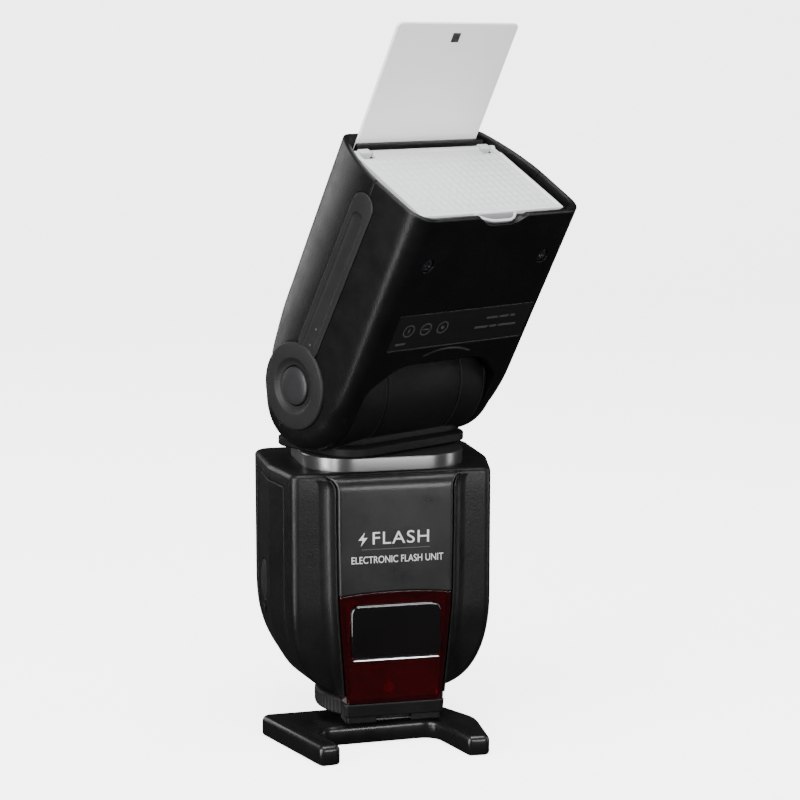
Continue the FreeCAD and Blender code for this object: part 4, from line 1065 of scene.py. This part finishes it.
PANEL_Y = 18.4
PANEL_Z = 77.0
panel_line = rectangle(-31.4, 31.4, -18.5, PANEL_Y, 1.5)
panel = prism(panel_line, 76.2, 77.3)
for x0, x1 in ((-29.4, -23.6), (23.6, 29.4)):
    panel = carve(panel, ("cut", box(x0, x1, PANEL_Y - 3.4, 30, 70, 80)))
tab = stepped([(tab_line, 76.2), (tab_line, 76.9)])
smile = tube([(p.x, p.y + 0.35, 77.05) for p in tab_line[1:-1]], 0.42, 10)
border = []
for x0, x1, y0, y1 in ((-31.4, 31.4, -18.5, -17.3), (-31.4, -30.2, -17.3, 14.8), (30.2, 31.4, -17.3, 14.8)):
    border.append(soft_plate(rectangle(x0, x1, y0, y1, 0.3), 77.2, 77.75, 0.2, both=False))
barrels = [drill(0.98, (a, PANEL_Y, PANEL_Z), (b, PANEL_Y, PANEL_Z), 24)
           for a, b in ((-31.2, -29.4), (29.4, 31.2), (-23.6, 23.6))]
cells = []
for i in range(19):
    for j in range(10):
        x = -27.9 + 3.1 * i
        y = -14.6 + 3.1 * j
        pyramid = bmesh.new()
        corners = ((-1.4, -1.4), (1.4, -1.4), (1.4, 1.4), (-1.4, 1.4))
        base = [pyramid.verts.new((x + a, y + b, 77.28)) for a, b in corners]
        tip = pyramid.verts.new((x, y, 77.62))
        pyramid.faces.new(list(reversed(base)))
        for k in range(4):
            pyramid.faces.new((base[k], base[(k + 1) % 4], tip))
        cells.append(pyramid)
part("wide_panel", merged(panel, smile, *border, *barrels, *cells), CLEAR, "wide_panel", HEAD,
     slot="clear_plastic", angle=15)
piece("panel_tab", tab, TAB, "wide_panel", HEAD, slot="clear_plastic")
lugs = [soft_plate(rectangle(a, b, PANEL_Y - 1.0, PANEL_Y + 1.4, 0.3), 75.6, 78.0, 0.3) for a, b in
        ((-28.8, -24.2), (24.2, 28.8))]
part("panel_lugs", merged(*lugs), CLEAR, "head", HEAD, slot="clear_plastic")

LEAN = Matrix.Translation((0, 23.5, LENGTH)) @ Matrix.Rotation(math.radians(-2.1), 4, "X")
card = soft_plate(rectangle(-26.5, 26.5, -8.4, 41.6, 1.6), -0.5, 0.5, 0.15, "XZ")
part("bounce_card", card, CARD, "bounce_card", HEAD @ LEAN, slot="card_white")
mark = soft_plate(rectangle(-1.7, 1.6, 35.0, 38.3, 0.2), -0.56, -0.5, 0.02, "XZ")
piece("card_mark", mark, MARK, "bounce_card", HEAD @ LEAN, slot="card_white")

# ------------------------------------------------------------------ inside pieces keep their CAD shape
CAD_LOOKS = (
    (BOARD, "keypad_board main_board"), (CELL, "battery_cells"), (SLEEVE, "main_capacitor"),
    (CASE, "battery_bay pad_gimbal zoom_carriage"), (GOLD, "contact_strips sync_socket shoe_contacts"),
    (STEEL, "contact_springs shoe_plate swivel_clip release_spring zoom_motor"), (ALU, "reflector"),
    (GROUND, "door_rod lock_pin tilt_shaft panel_pin lead_screw guide_rod"), (GLASS, "flash_tube"),
    (RUBBER, "power_socket tube_caps"),
)
for material, names in CAD_LOOKS:
    for node in names.split():
        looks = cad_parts[node].data.materials
        looks.clear()
        looks.append(material)

# ------------------------------------------------------------------ floor, light, camera
floor_material, tree, shader, place = nodes_of("floor")
cloud = noise(tree, place, 3.0, 4.0)
pale = mixed(tree, cloud.outputs["Fac"], (0.86, 0.86, 0.86), (0.9, 0.9, 0.9))
tree.links.new(pale, shader.inputs["Base Color"])
tree.links.new(pale, shader.inputs["Emission Color"])
shader.inputs["Emission Strength"].default_value = 4.5
shader.inputs["Roughness"].default_value = 0.7
sweep = bmesh.new()
rows = []
profile = [(-3.0, 0.0), (1.2, 0.0)] + [(1.2 + 0.8 * math.sin(a), 0.8 - 0.8 * math.cos(a)) for a in
                                      [math.pi / 2 * i / 16 for i in range(1, 17)]] + [(2.0, 4.0)]
for y, z in profile:
    rows.append([sweep.verts.new((x, y, z - 0.0001)) for x in (-5.0, 5.0)])
for a, b in zip(rows, rows[1:]):
    sweep.faces.new((a[0], a[1], b[1], b[0]))
mesh = bpy.data.meshes.new("floor")
sweep.to_mesh(mesh)
mesh.materials.append(floor_material)
for polygon in mesh.polygons:
    polygon.use_smooth = True
floor = bpy.data.objects.new("floor", mesh)
scene.collection.objects.link(floor)
floor.visible_glossy = False
floor.visible_diffuse = False

world = bpy.data.worlds.new("studio")
scene.world = world
world.use_nodes = True
world.node_tree.nodes["Background"].inputs["Color"].default_value = (1.0, 1.0, 1.0, 1.0)
world.node_tree.nodes["Background"].inputs["Strength"].default_value = 0.035


def softbox(name, spot, aim, size, power):
    """Rectangular studio light aimed at a point."""
    data = bpy.data.lights.new(name, "AREA")
    data.shape = "RECTANGLE"
    data.size, data.size_y = size
    data.energy = power
    lamp = bpy.data.objects.new(name, data)
    lamp.location = spot
    lamp.rotation_euler = (Vector(aim) - Vector(spot)).to_track_quat("-Z", "Y").to_euler()
    scene.collection.objects.link(lamp)
    return lamp


softbox("key_light", (-0.95, -0.42, 0.2), (0, 0, 0.12), (0.28, 0.9), 17)
softbox("corner_light", (-0.7, -0.75, 0.3), (0, 0, 0.1), (0.12, 0.8), 8)
softbox("front_light", (0.24, -0.85, 0.17), (0, 0, 0.09), (0.4, 0.2), 4.6)
softbox("fill_light", (0.95, -0.2, 0.3), (0, 0, 0.12), (0.2, 0.9), 4)
softbox("top_light", (0.0, -0.3, 1.1), (0, 0, 0.1), (0.7, 0.5), 18)
softbox("back_light", (-0.55, 0.8, 0.35), (0, 0, 0.12), (0.3, 0.6), 2.2)

camera_data = bpy.data.cameras.new("camera")
camera_data.sensor_width = 36.0
camera_data.lens = 95.78
camera = bpy.data.objects.new("camera", camera_data)
camera.location = (-0.15454, -0.69658, 0.23043)
camera.rotation_euler = (math.radians(90 - 9.35), 0, math.radians(-13.17))
scene.collection.objects.link(camera)
scene.camera = camera
